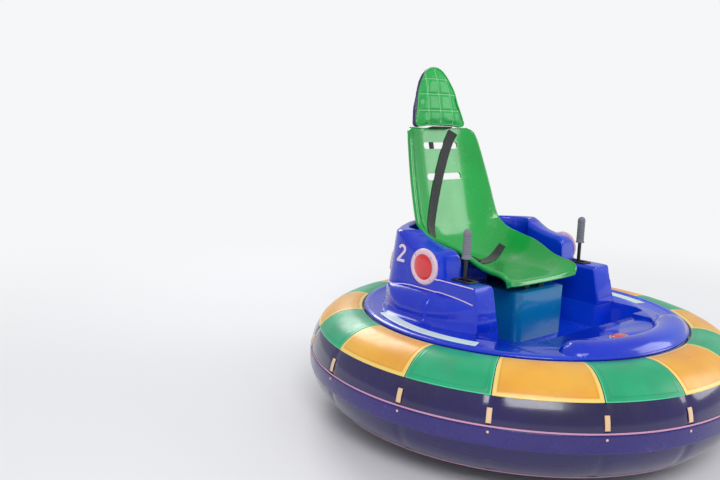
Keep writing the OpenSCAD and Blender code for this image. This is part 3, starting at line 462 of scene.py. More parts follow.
class Graph:
    """Adds nodes to a tree and feeds their sockets with values or other sockets."""

    def __init__(self, tree):
        self.tree = tree

    def add(self, kind, feeds=None, **settings):
        node = self.tree.nodes.new(kind)
        for key, value in settings.items():
            setattr(node, key, value)
        for key, value in (feeds or {}).items():
            self.feed(node.inputs[key], value)
        return node

    def feed(self, socket, value):
        if isinstance(value, bpy.types.NodeSocket):
            self.tree.links.new(value, socket)
        else:
            socket.default_value = value

    def math(self, operation, a, b=0.0, c=0.0):
        node = self.add("ShaderNodeMath", {0: a, 1: b, 2: c}, operation=operation)
        return node.outputs[0]

    def times(self, first, *others):
        """Product of the values."""
        for other in others:
            first = self.math("MULTIPLY", first, other)
        return first

    def less(self, a, b):
        return self.math("SUBTRACT", a, b)

    def apart(self, a, b):
        """Distance between two values."""
        return self.math("ABSOLUTE", self.less(a, b))

    def most(self, a, b):
        return self.math("MAXIMUM", a, b)

    def place(self):
        """Coordinates of the model."""
        return self.add("ShaderNodeTexCoord").outputs["Object"]

    def split(self, vector):
        return self.add("ShaderNodeSeparateXYZ", {"Vector": vector}).outputs

    def bump(self, height, distance, below=None):
        """Normal of a relief, on top of another normal where one is given."""
        feeds = {"Height": height, "Distance": distance, "Strength": 1.0}
        if below is not None:
            feeds["Normal"] = below
        return self.add("ShaderNodeBump", feeds).outputs[0]

    def ramp(self, value, low, high):
        """0 below low, 1 above high and smooth between."""
        node = self.add(
            "ShaderNodeMapRange", {"Value": value, "From Min": low, "From Max": high},
            interpolation_type="SMOOTHSTEP")
        return node.outputs["Result"]

    def mix(self, share, a, b):
        node = self.add("ShaderNodeMix", data_type="RGBA")
        self.feed(node.inputs[0], share)
        self.feed(node.inputs[6], a)
        self.feed(node.inputs[7], b)
        return node.outputs[2]

    def blend(self, share, a, b):
        node = self.add("ShaderNodeMix", {0: share, 2: a, 3: b}, data_type="FLOAT")
        return node.outputs[0]

    def noise(self, vector, scale, detail=3.0, rough=0.55):
        node = self.add(
            "ShaderNodeTexNoise",
            {"Vector": vector, "Scale": scale, "Detail": detail, "Roughness": rough})
        return node.outputs["Fac"]


def graph_of(owner):
    """Emptied node graph of a material or a world."""
    owner.use_nodes = True
    owner.node_tree.nodes.clear()
    return Graph(owner.node_tree)


def group(name, inputs, outputs, fill):
    """Shader node group with named sockets. fill(graph, inputs) returns what feeds its outputs."""
    tree = bpy.data.node_groups.new(name, "ShaderNodeTree")
    for label, value in inputs.items():
        kind = "NodeSocketColor" if isinstance(value, tuple) and len(value) == 4 else (
            "NodeSocketVector" if isinstance(value, tuple) else "NodeSocketFloat")
        socket = tree.interface.new_socket(name=label, in_out="INPUT", socket_type=kind)
        socket.default_value = value
    for label, kind in outputs.items():
        tree.interface.new_socket(name=label, in_out="OUTPUT", socket_type=kind)
    graph = Graph(tree)
    feeds = fill(graph, graph.add("NodeGroupInput").outputs)
    graph.add("NodeGroupOutput", feeds)
    return tree


def fill_wear(g, given):
    """Colour drifts between two tones in broad patches, then scuffs break through where two noises agree.
    Roughness follows both."""
    place, scale, scuffing = g.place(), given["Patch Scale"], given["Scuff Scale"]
    tone = g.mix(g.ramp(g.noise(place, scale, 2.0), 0.35, 0.65), given["Color"], given["Second Color"])
    broad = g.ramp(g.noise(place, scuffing, 4.0, 0.7), 0.52, 0.72)
    fine = g.ramp(g.noise(place, g.times(scuffing, 9.0), 3.0, 0.6), 0.5, 0.68)
    scuff = g.times(broad, fine, given["Scuff Amount"])
    cloud = g.ramp(g.noise(place, g.times(scale, 4.0), 5.0, 0.65), 0.3, 0.75)
    rough = g.blend(cloud, given["Rough Low"], given["Rough High"])
    return {
        "Color": g.mix(scuff, tone, given["Scuff Color"]),
        "Roughness": g.math("ADD", rough, g.times(scuff, 0.25)),
        "Scuff": scuff,
    }


def fill_dust(g, given):
    """Pale dust that lies on faces that look up, more in patches, and thins out with height."""
    place = g.place()
    facing = g.ramp(g.split(g.add("ShaderNodeNewGeometry").outputs["Normal"])["Z"], 0.1, 0.95)
    low = g.less(1.0, g.ramp(g.split(place)["Z"], given["Low"], given["High"]))
    patch = g.ramp(g.noise(place, given["Scale"], 5.0, 0.7), 0.4, 0.7)
    share = g.times(g.most(facing, low), patch, given["Amount"])
    return {"Color": g.mix(share, given["Color"], given["Dust Color"]), "Dust": share}


def fill_grain(g, given):
    """Surface relief: fine grain and slow ripples, each a noise bump on the one below."""
    place = g.place()
    ripple = g.bump(g.noise(place, given["Ripple Scale"], 2.0, 0.4), given["Ripple Depth"])
    grain = g.noise(place, given["Grain Scale"], 3.0, 0.5)
    return {"Normal": g.bump(grain, given["Grain Depth"], ripple)}


def fill_weave(g, given):
    """Plain weave from surface coordinates in metres: threads along and across that take turns on top."""
    parts = g.split(g.add("ShaderNodeUVMap").outputs["UV"])
    turn = g.times(given["Threads"], TAU)
    along, across = (g.math("SINE", g.times(parts[letter], turn)) for letter in "XY")
    height = g.math("MULTIPLY_ADD", g.times(along, across), 0.5, 0.5)
    return {"Height": g.math("MULTIPLY_ADD", across, 0.25, height), "Mask": height}


COLOUR, NUMBER, DIRECTION = "NodeSocketColor", "NodeSocketFloat", "NodeSocketVector"
GREY = (0.5, 0.5, 0.5, 1.0)
WEAR = group(
    "worn_surface",
    {"Color": GREY, "Second Color": GREY, "Patch Scale": 2.0, "Scuff Color": GREY,
     "Scuff Scale": 12.0, "Scuff Amount": 0.3, "Rough Low": 0.3, "Rough High": 0.5},
    {"Color": COLOUR, "Roughness": NUMBER, "Scuff": NUMBER}, fill_wear)
DUST = group(
    "settled_dust",
    {"Color": GREY, "Dust Color": GREY, "Scale": 6.0, "Amount": 0.2, "Low": 0.0, "High": 0.3},
    {"Color": COLOUR, "Dust": NUMBER}, fill_dust)
GRAIN = group(
    "fine_relief",
    {"Grain Scale": 300.0, "Grain Depth": 0.0002, "Ripple Scale": 8.0, "Ripple Depth": 0.001},
    {"Normal": DIRECTION}, fill_grain)
WEAVE = group(
    "plain_weave", {"Threads": 700.0}, {"Height": NUMBER, "Mask": NUMBER}, fill_weave)


def tint(code):
    """Linear colour of a six-digit screen colour."""
    parts = [int(code[i:i + 2], 16)/255 for i in (0, 2, 4)]
    return tuple(p/12.92 if p <= 0.04045 else ((p + 0.055)/1.055)**2.4 for p in parts) + (1.0,)


FINISH = {}


def surface(name, base, second, scuff="B8B8C0", patch=2.0, scuff_scale=12.0, scuffs=0.25,
            rough=(0.3, 0.45), grain=(400.0, 0.0001), ripple=(8.0, 0.0005), dust=0.1,
            dust_band=(0.0, 0.3), metal=0.0, coat=0.0, coat_rough=0.1, sheen=0.0, specular=0.5):
    """Material with drifting tones, scuffs, dust and relief, kept in FINISH under its name. Returns its
    graph, its shader's inputs, its colour and its normal."""
    FINISH[name] = bpy.data.materials.new(name)
    g = graph_of(FINISH[name])
    wear = g.add("ShaderNodeGroup", {
        "Color": tint(base), "Second Color": tint(second), "Patch Scale": patch,
        "Scuff Color": tint(scuff), "Scuff Scale": scuff_scale, "Scuff Amount": scuffs,
        "Rough Low": rough[0], "Rough High": rough[1]}, node_tree=WEAR).outputs
    settled = g.add("ShaderNodeGroup", {
        "Color": wear["Color"], "Dust Color": tint("9A948C"), "Amount": dust,
        "Low": dust_band[0], "High": dust_band[1]}, node_tree=DUST).outputs["Color"]
    relief = g.add("ShaderNodeGroup", {
        "Grain Scale": grain[0], "Grain Depth": grain[1],
        "Ripple Scale": ripple[0], "Ripple Depth": ripple[1]}, node_tree=GRAIN).outputs["Normal"]
    shader = g.add("ShaderNodeBsdfPrincipled", {
        "Base Color": settled, "Roughness": wear["Roughness"], "Normal": relief, "Metallic": metal,
        "Coat Weight": coat, "Coat Roughness": coat_rough, "Sheen Weight": sheen,
        "Specular IOR Level": specular})
    g.add("ShaderNodeOutputMaterial", {"Surface": shader.outputs[0]})
    return g, shader.inputs, settled, relief


def dark_vinyl():
    surface(
        "ring_dark_vinyl", "1E1258", "150B44", scuff="4A3E90", scuffs=0.22, scuff_scale=7,
        rough=(0.14, 0.26), grain=(900, 0.00005), ripple=(5, 0.003), dust=0.10,
        dust_band=(0.02, 0.14), coat=0.5, coat_rough=0.08)


def panel_vinyl(name, base, second, rim, rim_width, scuff, scuffs):
    """Welded panel. Its rim, rim_width wide, is paler, with a darker weld line inside."""
    g, shader, settled, _ = surface(
        name, base, second, scuff=scuff, scuffs=scuffs, scuff_scale=8, patch=5,
        rough=(0.28, 0.42), grain=(1100, 0.00008), ripple=(9, 0.0012), dust=0.08,
        dust_band=(0.0, 0.2), coat=0.2, coat_rough=0.2)
    inwards = g.split(g.add("ShaderNodeUVMap").outputs["UV"])["X"]
    paler = g.less(1.0, g.ramp(inwards, rim_width - 0.0012, rim_width + 0.0012))
    line = g.times(g.less(1.0, g.ramp(g.apart(inwards, WELD_LINE), 0.0008, 0.0022)), 0.35)
    rimmed = g.mix(g.times(paler, 0.85), settled, tint(rim))
    g.feed(shader["Base Color"], g.mix(line, rimmed, tint(scuff)))


def band_vinyl():
    surface(
        "band_vinyl", "2C1E78", "221664", scuff="6A5CB0", scuffs=0.4, scuff_scale=10,
        rough=(0.2, 0.34), grain=(700, 0.00008), ripple=(6, 0.0015), dust=0.12,
        dust_band=(0.1, 0.24), coat=0.3, coat_rough=0.12)


def body_gloss(name, base, second, scuff="8FA4E8"):
    surface(
        name, base, second, scuff=scuff, scuffs=0.14, scuff_scale=16, patch=1.6,
        rough=(0.2, 0.3), grain=(240, 0.00003), ripple=(14, 0.0004), dust=0.04,
        dust_band=(0.0, 0.2), coat=0.6, coat_rough=0.05, specular=0.35)


def plain_plastic(name, base, second, rough=(0.4, 0.55), scuffs=0.2, dust=0.12):
    surface(
        name, base, second, scuffs=scuffs, rough=rough, grain=(800, 0.00015),
        ripple=(20, 0.0004), dust=dust, dust_band=(0.0, 0.3))


def steel(name, base, second, rough=(0.35, 0.5), metal=1.0, dust=0.15):
    surface(
        name, base, second, scuff="C8C8CC", scuffs=0.25, scuff_scale=25, rough=rough,
        grain=(1200, 0.00006), ripple=(30, 0.0002), dust=dust, dust_band=(0.0, 0.25), metal=metal)


def rubber(name, base, second, dust=0.45):
    surface(
        name, base, second, scuff="5A5852", scuffs=0.5, scuff_scale=30, rough=(0.65, 0.85),
        grain=(900, 0.0003), ripple=(40, 0.0005), dust=dust, dust_band=(0.0, 0.25))


def webbing():
    """Black woven belt: the plain weave gives relief and lighter threads."""
    g, shader, settled, relief = surface(
        "black_webbing", "0E0E10", "151518", scuff="3A3A3E", scuffs=0.3, scuff_scale=40,
        rough=(0.6, 0.8), dust=0.1, sheen=0.3)
    weave = g.add("ShaderNodeGroup", {"Threads": 420.0}, node_tree=WEAVE).outputs
    g.feed(shader["Normal"], g.bump(weave["Height"], 0.0006, relief))
    g.feed(shader["Base Color"], g.mix(g.times(weave["Mask"], 0.25), settled, tint("34343A")))


def lens_red():
    """Red lamp lens: a grid of small prisms pressed into the back, and a faint glow of its own."""
    g, shader, _, relief = surface(
        "red_lens", "D8061A", "C00414", scuff="FF8080", scuffs=0.05, rough=(0.12, 0.2),
        grain=(300, 0.00004), ripple=(60, 0.0002), dust=0.03, coat=1.0, coat_rough=0.03)
    prisms = g.add("ShaderNodeTexVoronoi", {"Vector": g.place(), "Scale": 220.0}).outputs["Distance"]
    g.feed(shader["Normal"], g.bump(prisms, 0.0008, relief))
    g.feed(shader["Emission Color"], tint("FF1020"))
    g.feed(shader["Emission Strength"], 0.12)


def quilted_cover():
    """Green quilted front with sides and back painted dark violet as shade, parted by the slanted plane
    behind the piping, and pale thread along the quilting seams."""
    g, shader, settled, _ = surface(
        "green_quilted", "1CB452", "14A046", scuff="B8F0C0", scuffs=0.12, scuff_scale=18,
        rough=(0.34, 0.48), grain=(700, 0.0003), ripple=(30, 0.0005), dust=0.04, coat=0.15)
    parts = g.split(g.place())
    y, z = g.less(parts["Y"], HEADREST_AT[0]), g.less(parts["Z"], HEADREST_AT[1])
    sine, cosine = math.sin(HEADREST_LEAN), math.cos(HEADREST_LEAN)
    depth = g.math("MULTIPLY_ADD", z, -sine, g.times(y, cosine))
    rise = g.math("MULTIPLY_ADD", z, cosine, g.times(y, sine))
    behind = g.ramp(depth, PIPING_DEPTH + 0.0005, PIPING_DEPTH + 0.0015)
    sideways = g.math("ABSOLUTE", parts["X"])
    outer = g.apart(sideways, g.math("MULTIPLY_ADD", g.times(rise, rise), QUILT_BEND, QUILT_X))
    near = g.math("MINIMUM", sideways, outer)
    for row in QUILT_ROWS:
        near = g.math("MINIMUM", near, g.apart(rise, row))
    thread = g.times(g.less(1.0, g.ramp(near, 0.0006, 0.0022)), 0.55)
    stitched = g.mix(thread, settled, tint("B4F0B0"))
    # Sides and back: dark violet painted shade
    g.feed(shader["Base Color"], g.mix(behind, stitched, tint("2B2058")))


dark_vinyl()
panel_vinyl(
    "green_vinyl", "10B27A", "0AA06A", rim="58D8A4", rim_width=0.003, scuff="0C7A58", scuffs=0.3)
panel_vinyl(
    "yellow_vinyl", "F8B840", "F0A62E", rim="FBDE7C", rim_width=0.011, scuff="C98A3C", scuffs=0.45)
# Pale colour of the painted seam highlights on the ring
plain_plastic("seam_highlight_paint", "F3CFA6", "EEC090", dust=0.05)
plain_plastic("line_vinyl", "D8A0C0", "C890B8", dust=0.1)
band_vinyl()
body_gloss("blue_body", "0028C8", "0444E0")
body_gloss("teal_body", "067CB0", "066CA0")
plain_plastic("pale_trim", "EAD6F4", "E0C8EC")
plain_plastic("lamp_bezel", "F2D2DE", "EAC6D6", rough=(0.25, 0.4))
lens_red()
plain_plastic("black_plastic", "141416", "1A1A1D")
steel("black_steel", "141417", "1B1B1F", metal=0.0)
steel("zinc_steel", "B9BBBF", "A8AAB0")
rubber("grip_rubber", "8A8A94", "7C7C86", dust=0.1)
surface(
    "green_shell", "14B048", "109C3E", scuff="C8F4C8", scuffs=0.15, rough=(0.18, 0.3),
    grain=(300, 0.00004), ripple=(12, 0.0004), dust=0.05, coat=0.5, coat_rough=0.08)
quilted_cover()
webbing()
plain_plastic("battery_case", "1C1C1E", "242427")
steel("cast_alloy", "8E9094", "808286", rough=(0.5, 0.65))
steel("motor_case", "26262A", "303035", metal=0.0, rough=(0.4, 0.55))
rubber("tyre_rubber", "151515", "1C1C1B")
rubber("caster_rubber", "3A3A3C", "444446")
# Pale paint for the raised figures, also used for the painted highlights along the cowl's edges
plain_plastic("figure_and_highlight_paint", "F4DDEB", "EED2E4", rough=(0.3, 0.45), dust=0.05)
plain_plastic("stripe", "E2F4EE", "D2EDE2", rough=(0.25, 0.4), dust=0.05)


# Ring

def ring_point(turn, girth, radius):
    """Point of the ring: turn goes round the car and girth round the tube, from straight out upwards.
    The section is two half circles with a short flat between them."""
    reach = RING_MID + radius*np.cos(girth)
    flat = np.clip(np.sin(girth)*12, -1, 1)*TUBE_FLAT/2
    height = TUBE_Z + flat + radius*np.sin(girth)
    return np.stack([reach*np.cos(turn), reach*np.sin(turn), height], -1)


def ring_outward(turn, girth):
    """Direction straight out of the tube."""
    return np.stack([np.cos(girth)*np.cos(turn), np.cos(girth)*np.sin(turn), np.sin(girth)], -1)


def ring_face(turns, girths, radius):
    """Stretch of the ring's surface between two turns and two girths, for plate()."""
    def face(u, v):
        turn, girth = lerp(*turns, u), lerp(*girths, v)
        length = (turns[1] - turns[0])*(RING_MID + radius*np.cos(np.mean(girths)))
        width = abs(girths[1] - girths[0])*radius
        return ring_point(turn, girth, radius), ring_outward(turn, girth), abs(length), width
    return face


def seam_turns():
    """Turns of the sixteen welded seams, two for each yellow panel."""
    middle = -math.pi/2 + PAIR*np.arange(PAIRS)
    return np.sort(np.concatenate([middle - YELLOW/2, middle + YELLOW/2]) % TAU)


def girth_at(height, radius):
    """Girth at which the outside of the tube has a height."""
    above = height - TUBE_Z
    flat = TUBE_FLAT/2 if above > 0 else -TUBE_FLAT/2
    return math.asin((above - flat)/radius)


def make_ring():
    """The dark tube dips along each seam by a bell curve, with small puckers beside it that die away.
    Inside the notch under the deck's lip its height is cut off at the lip's seat."""
    notch = math.acos(-(RING_MID - LIP_SEAT_R)/CORE_R)
    girths = np.concatenate([np.linspace(-math.pi, notch, 62), np.linspace(notch + 1e-4, math.pi, 24)])
    turn, girth = np.meshgrid(np.linspace(0, TAU, 481), girths, indexing="ij")
    off = np.min(np.abs((turn[..., None] - seam_turns() + math.pi) % TAU - math.pi), axis=-1)*RING_MID
    outer = np.clip(np.cos(girth), 0, 1)
    dip = SEAM_DIP*bell(off, SEAM_DIP_W)*outer
    pucker = PUCKER*np.exp(-off/PUCKER_REACH)*np.cos(girth*38)*outer
    skin = ring_point(turn, girth, CORE_R - dip - PUCKER*outer + pucker)
    seated = np.minimum(skin[..., 2], LIP_SEAT_Z)
    skin[..., 2] = np.where(girth > notch, seated, skin[..., 2])
    piece("ring_skin", [skin], "ring_dark_vinyl", stands_for=("ring_tube",))


def make_panels():
    """Each panel is a plate on the tube, a hair short of its neighbour, with a soft rounded edge and a
    low weld ridge along its border. At each seam a pale strip runs down the side, with a pale dot below
    it: painted highlights of the seam's puckers."""
    gap, half = PANEL_GAP/RING_MID, HIGHLIGHT_STRIP_W/2/RING_MID
    def weld(inwards):
        ridge = inwards - WELD_LINE
        return 0.0006*bell(ridge, 0.0025) - 0.0004*bell(ridge + 0.0045, 0.003)
    for name, finish, start, span in (
            ("panels_green", "green_vinyl", YELLOW/2, PAIR - YELLOW),
            ("panels_yellow", "yellow_vinyl", -YELLOW/2, YELLOW)):
        grids = []
        for i in range(PAIRS):
            first = -math.pi/2 + i*PAIR + start
            face = ring_face((first + gap, first + span - gap), PANEL_GIRTH, SKIN_R)
            grids += plate(face, 56, 44, SKIN_T - 0.0010, 0.004, relief=weld, rim_uv=True)
        piece(name, grids, finish, stands_for=("ring_" + name,), angle=60)
    # Painted highlights: a pale strip down each seam and a pale dot below it
    highlight_strips, stud_heads_and_highlight_dots = [], []
    strip_girths = [girth_at(z, SKIN_R) for z in HIGHLIGHT_STRIP_Z]
    dot_girth = girth_at(HIGHLIGHT_DOT_Z, SKIN_R)
    for seam in seam_turns():
        face = ring_face((seam - half, seam + half), strip_girths, SKIN_R - 0.001)
        highlight_strips += plate(face, 10, 14, SKIN_T + 0.0012, 0.002)
        at = ring_point(seam, dot_girth, SKIN_R + SKIN_T - 0.0008)
        stud_heads_and_highlight_dots.append(low_dome(at, ring_outward(seam, dot_girth), 0.0042, 0.0018))
    piece("seam_highlight_strips", highlight_strips, "seam_highlight_paint", angle=60)
    piece("seam_highlight_dots", stud_heads_and_highlight_dots, "seam_highlight_paint", angle=60)


def closed_hoop(low, high, lift, thickness, edge):
    """Strip of vinyl round the tube between two heights, whose edges fall along a quarter round."""
    turn, share = np.meshgrid(np.linspace(0, TAU, 241), ends_in(12), indexing="ij")
    girth = lerp(girth_at(low, SKIN_R), girth_at(high, SKIN_R), share)
    inwards = np.minimum(share, 1 - share)*(high - low)
    rise = thickness*quarter_round(inwards/edge)
    base = ring_point(turn, girth, SKIN_R + lift)
    return [base + ring_outward(turn, girth)*rise[..., None], base]


def make_band():
    """The rubbing band with a pale line along its upper edge, and another line low on the tube."""
    low, high = band_low.z, band_high.z
    band = closed_hoop(low, high, lift=0, thickness=SKIN_T - 0.0006, edge=0.004)
    piece("band", band, "band_vinyl", stands_for=("rub_band",))
    lines = []
    for z in (high + 0.001, LOW_LINE_Z):
        lines += closed_hoop(z, z + LINE_H, lift=-0.0006, thickness=0.0014, edge=0.0015)
    piece("band_lines", lines, "line_vinyl")


# Cowl

def cowl_rows(count=170):
    """Stations of the right half, from the console's front to the middle of the rear, smoothed along
    their path. Columns: outward x, y, turn, width, top height, shares of lean, haunch and shoulder."""
    def out_x(t):
        return lerp(CONSOLE_X, CORNER_X, t)
    def step_z(t):
        return lerp(CONSOLE_Z, POD_FRONT_Z, t)
    def ramp_z(t):
        return lerp(POD_FRONT_Z, POD_REAR_Z, t)
    front = -(CONSOLE_FOOT - FRONT_LEAN + POD_FRONT - FRONT_BULGE)/COWL_LEN
    rear = POD_REAR_Z
    table = np.array([
        [CONSOLE_X, front, 0, CONSOLE_W, CONSOLE_Z, 0, 0.07, 0],
        [CONSOLE_X, -0.25, 0, CONSOLE_W, CONSOLE_Z, 0, 0.55, 0],
        [CONSOLE_X, -0.14, 0, CONSOLE_W, CONSOLE_Z, 0, 0.78, 0],
        [CONSOLE_X, 0, STEP_TURN, CONSOLE_W, CONSOLE_Z, 0, 0.94, 0],
        [out_x(0.4), 0.008, STEP_TURN, lerp(CONSOLE_W, POD_W, 0.4), step_z(0.12), 0, 0.95, 0.2],
        [out_x(0.9), 0.026, STEP_TURN, POD_W, step_z(0.76), 0, 0.97, 0.7],
        [CORNER_X, 0.062, STEP_TURN/2, POD_W, step_z(0.97), 0, 1, 1],
        [CORNER_X, 0.14, 0, POD_W, ramp_z(0.06), 0, 1, 1],
        [CORNER_X, 0.28, 0, POD_W, ramp_z(0.33), 0, 1, 1],
        [CORNER_X, 0.39, 0, POD_W, ramp_z(0.66), 0.05, 0.86, 0.75],
        [CORNER_X*0.995, 0.46, 10, POD_W*0.96, ramp_z(0.86), 0.3, 0.55, 0.35],
        [CORNER_X*0.976, 0.526, 28, POD_W*0.87, rear, 0.6, 0.22, 0.12],
        [CORNER_X*0.932, 0.592, 45, POD_W*0.73, rear, 0.9, 0.08, 0.1],
        [CORNER_X*REAR_NEAR[0], *REAR_NEAR[1:], POD_W*0.45, rear, 1, 0.06, 0.1],
        [CORNER_X*REAR_FAR[0], *REAR_FAR[1:], POD_W*0.29, rear, 1, 0.06, 0.1],
        [CORNER_X*0.4, 0.93, 68, POD_W*0.32, rear, 1, 0.06, 0.1],
        [0, 1, 90, POD_W*0.36, rear, 1, 0.06, 0.1],
    ])
    table[:, 1] = POD_FRONT + COWL_LEN*table[:, 1]
    knots = path_length(table[:, :2]) + path_length(table[:, 4:5])
    return through(knots, table, np.linspace(0, knots[-1], count), tight=True)


def cowl_out(z, top, lean):
    """How far the wall stands outside its top edge at a height."""
    return REAR_LEAN*lean*(top - z)/(POD_REAR_Z - DECK_Z)


def shoulder_of(w, round_share):
    """Radius of the inner edge, and width and height of the quarter ellipse between top and wall."""
    edge = np.minimum(0.018, w/3)
    over = np.minimum(lerp(0.012, SHOULDER_W, round_share), w - edge - 0.002)
    return edge, over, lerp(0.010, SHOULDER_DROP, round_share)


def cowl_profile(w, top, lean, haunch, round_share):
    """Section points, one row per station: up the inner wall, round its edge, over the shoulder's
    quarter ellipse, down the wall to the crease, out over the haunch by a sine and down a skirt that
    flares with the 4.5th power of the way down."""
    w, top, lean, haunch, round_share = (x[:, None] for x in (w, top, lean, haunch, round_share))
    edge, over, drop = shoulder_of(w, round_share)
    crease = CREASE_Z - CREASE_FALL*(1 - haunch)
    low = crease - HAUNCH_H*haunch
    swell, skirt = HAUNCH_W*haunch, SKIRT_W*(0.3 + 0.7*haunch)
    def wall(z, out=0):
        return out + cowl_out(z, top, lean), z
    rim, over_turn, sweep = (
        np.radians(np.linspace(*span)) for span in ((0, 90, 9), (90, 0, 20), (30, 90, 16)))
    down = np.linspace(0.08, 1, 14)
    parts = (
        (-w, DECK_Z + 0*w),
        (-w, lerp(DECK_Z, top - edge, 0.6)),
        (-w + edge - edge*np.cos(rim), top - edge + edge*np.sin(rim)),
        wall(top - drop + drop*np.sin(over_turn), -over + over*np.cos(over_turn)),
        wall(lerp(top - drop, crease + 0.001, np.linspace(0.15, 1, 7))),
        wall(low + (crease - low)*np.cos(sweep)/math.cos(sweep[0]), 0.0005 + swell*(2*np.sin(sweep) - 1)),
        wall(lerp(low, DECK_Z, down), 0.0005 + swell + skirt*down**4.5),
    )
    return [np.concatenate(columns, 1) for columns in zip(*parts)]


def lean_forward(rows, height):
    """Forward shift of the consoles' front face, which dies out over its first stretch."""
    first, second = rows[0, 1], POD_FRONT - 0.25*COWL_LEN
    share = np.clip(1 - (rows[:, 1:2] - first)/(second - first), 0, 1)
    return FRONT_LEAN*share*(CONSOLE_Z - height)/(CONSOLE_Z - DECK_Z)


def cowl_place(rows, across, height):
    """Points of the right half at distances across the wall and heights. Below the crease, from the
    front to y = 0.17, the stations' places and turns are averaged with bell weights, so that the haunch
    runs on in a softer line under the pod's step."""
    stretch = np.linspace(-2.2, 2.2, 33)
    weights = bell(stretch, 1.0)/bell(stretch, 1.0).sum()
    padded = np.pad(rows, ((16, 16), (0, 0)), mode="edge")
    low_x, low_turn = (np.convolve(padded[:, k], weights, "valid")[:, None] for k in (0, 2))
    low_turn = np.where(rows[:, 1:2] < 0.16, low_turn*(1 - bell(rows[:, 1:2] - 0.03, 0.05)), low_turn)
    deep = np.clip((CREASE_Z - height)/0.03, 0, 1)*np.clip((0.17 - rows[:, 1:2])/0.05, 0, 1)
    turn = np.radians(lerp(rows[:, 2:3], low_turn, deep))
    return np.stack([
        -(lerp(rows[:, :1], low_x, deep) + across*np.cos(turn)),
        rows[:, 1:2] + across*np.sin(turn) - lean_forward(rows, height),
        height + 0*across,
    ], -1)


def wall_point(y, z, proud):
    """Point of the right-hand pod's outer wall or shoulder, at a station's y and a height. Over the
    shoulder it follows the quarter ellipse of the section."""
    rows = cowl_rows(400)
    x, turn, w, top, lean, round_share = (
        np.interp(y, rows[:, 1], rows[:, k]) for k in (0, 2, 3, 4, 5, 7))
    _, over, drop = shoulder_of(w, round_share)
    up = np.clip((z - top + drop)/drop, 0, 0.999)
    out = cowl_out(z, top, lean) + over*(np.sqrt(1 - up*up) - 1) + proud
    turn = np.radians(turn)
    return np.stack([-(x + out*np.cos(turn)), y + out*np.sin(turn), z], -1)


def make_cowl():
    """The section is carried along the smoothed stations. The front closes in a rounded face. Thin pale
    tubes along the crease and the consoles' outer edge are painted highlights on those edges."""
    rows = cowl_rows()
    across, height = cowl_profile(*rows[:, 3:].T)
    half = cowl_place(rows, across, height)
    middle = half[0].mean(0)
    cap = []
    for a in np.radians([90, 68, 45, 22]):
        share = 1 - math.cos(a)
        shrunk = middle + (half[0] - middle)*[1 - 0.08*share, 1, 1 - 0.06*share]
        shrunk[:, 2] = np.maximum(shrunk[:, 2], DECK_Z)
        cap.append(shrunk - [0, FRONT_BULGE*math.sin(a), 0])
    centre = np.tile(middle - [0, FRONT_BULGE, 0], (1, half.shape[1], 1))
    half = np.concatenate([centre, np.array(cap), half])
    half = np.concatenate([half, half[:, :1]], 1)
    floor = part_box("lever_brackets")[0].z
    wells = [
        rounded_box((*LEVER_WELL, 0.2), 0.002, (side*LEVER_AT[0], LEVER_AT[1], floor + 0.1))
        for side in (-1, 1)]
    for name, grid, node, well in (
            ("cowl_skin_right", half, "cowl_right", wells[0]),
            ("cowl_skin_left", half*[-1, 1, 1], "cowl_left", wells[1])):
        piece(name, [grid], "blue_body", stands_for=(node,), angle=38, cutters=[well])
    haunch = rows[:, 6:7]
    crease = CREASE_Z - CREASE_FALL*(1 - haunch)
    line = cowl_place(rows, cowl_out(crease, rows[:, 4:5], rows[:, 5:6]) + 0.0008, crease)[:, 0]
    low = rows[0, 1] + 0.004
    shown = rows[:, 1] > low
    # Painted highlights: pale tubes along the crease and round the console's outer top edge
    highlight_lines = [tube(line[shown], HIGHLIGHT_LINE_R)]
    console = rows[(rows[:, 1] > low) & (rows[:, 1] < 0.044)]
    _, over, drop = shoulder_of(console[:, 3:4], console[:, 7:8])
    lip = cowl_place(console, -over*0.30, console[:, 4:5] - drop*0.28)[:, 0]
    z = np.linspace(DECK_Z + 0.004, CONSOLE_Z - 0.004, 14)
    forward = FRONT_LEAN*(CONSOLE_Z - z)/(CONSOLE_Z - DECK_Z)
    corner = np.stack([0*z - CONSOLE_X + 0.004, low - 0.003 - forward, z], -1)
    y = np.linspace(0.050, 0.078, 7)
    upwards = wall_point(y, lip[-1, 2] + 0.012*((y - 0.044)/0.034)**2, 0.0006)
    highlight_lines.append(tube(np.concatenate([corner, lip, upwards]), HIGHLIGHT_LINE_R))
    piece("cowl_highlight_lines", mirrored(highlight_lines), "figure_and_highlight_paint", angle=60)


def make_numeral():
    """A raised figure two on each pod, drawn as a bent stroke and a foot, both carried on the wall."""
    hook = arc(0.0150, 0.0140, 165, -40, 16) + [0, 0.0475]
    stem = lerp(hook[-1], np.array([-0.0150, 0.0060]), np.linspace(0.1, 1, 10)[:, None])
    strokes = [
        (np.concatenate([hook, stem]), 0.0055, 44),
        (np.array([[-0.0195, 0.0055], [0.0195, 0.0055]]), 0.0055, 24)]
    for name, side in (("figure_right", -1), ("figure_left", 1)):
        grids = []
        for line, half, count in strokes:
            reach = path_length(line)
            def face(u, v):
                path = through(reach, line, u.ravel()*reach[-1], tight=len(line) < 3)
                path = path.reshape(u.shape + (2,))
                ahead = np.gradient(path, axis=0)
                ahead /= np.linalg.norm(ahead, axis=-1, keepdims=True)
                offset = (half*(2*v - 1))[..., None]
                spots = path + np.stack([-ahead[..., 1], ahead[..., 0]], -1)*offset
                rise = spots[..., 1] - NUMERAL_H/2
                y, z = NUMERAL_AT[0] + side*(spots[..., 0] + 0.12*rise), NUMERAL_AT[1] + rise
                base = wall_point(y, z, -0.0004)
                outward = wall_point(y, z, 1.0) - wall_point(y, z, 0.0)
                flip = np.array([-side, 1, 1])
                return base*flip, outward*flip, reach[-1], 2*half
            grids += plate(face, count, 9, 0.0014, 0.0010)
        piece(name, grids, "figure_and_highlight_paint", angle=60)


# Lamps

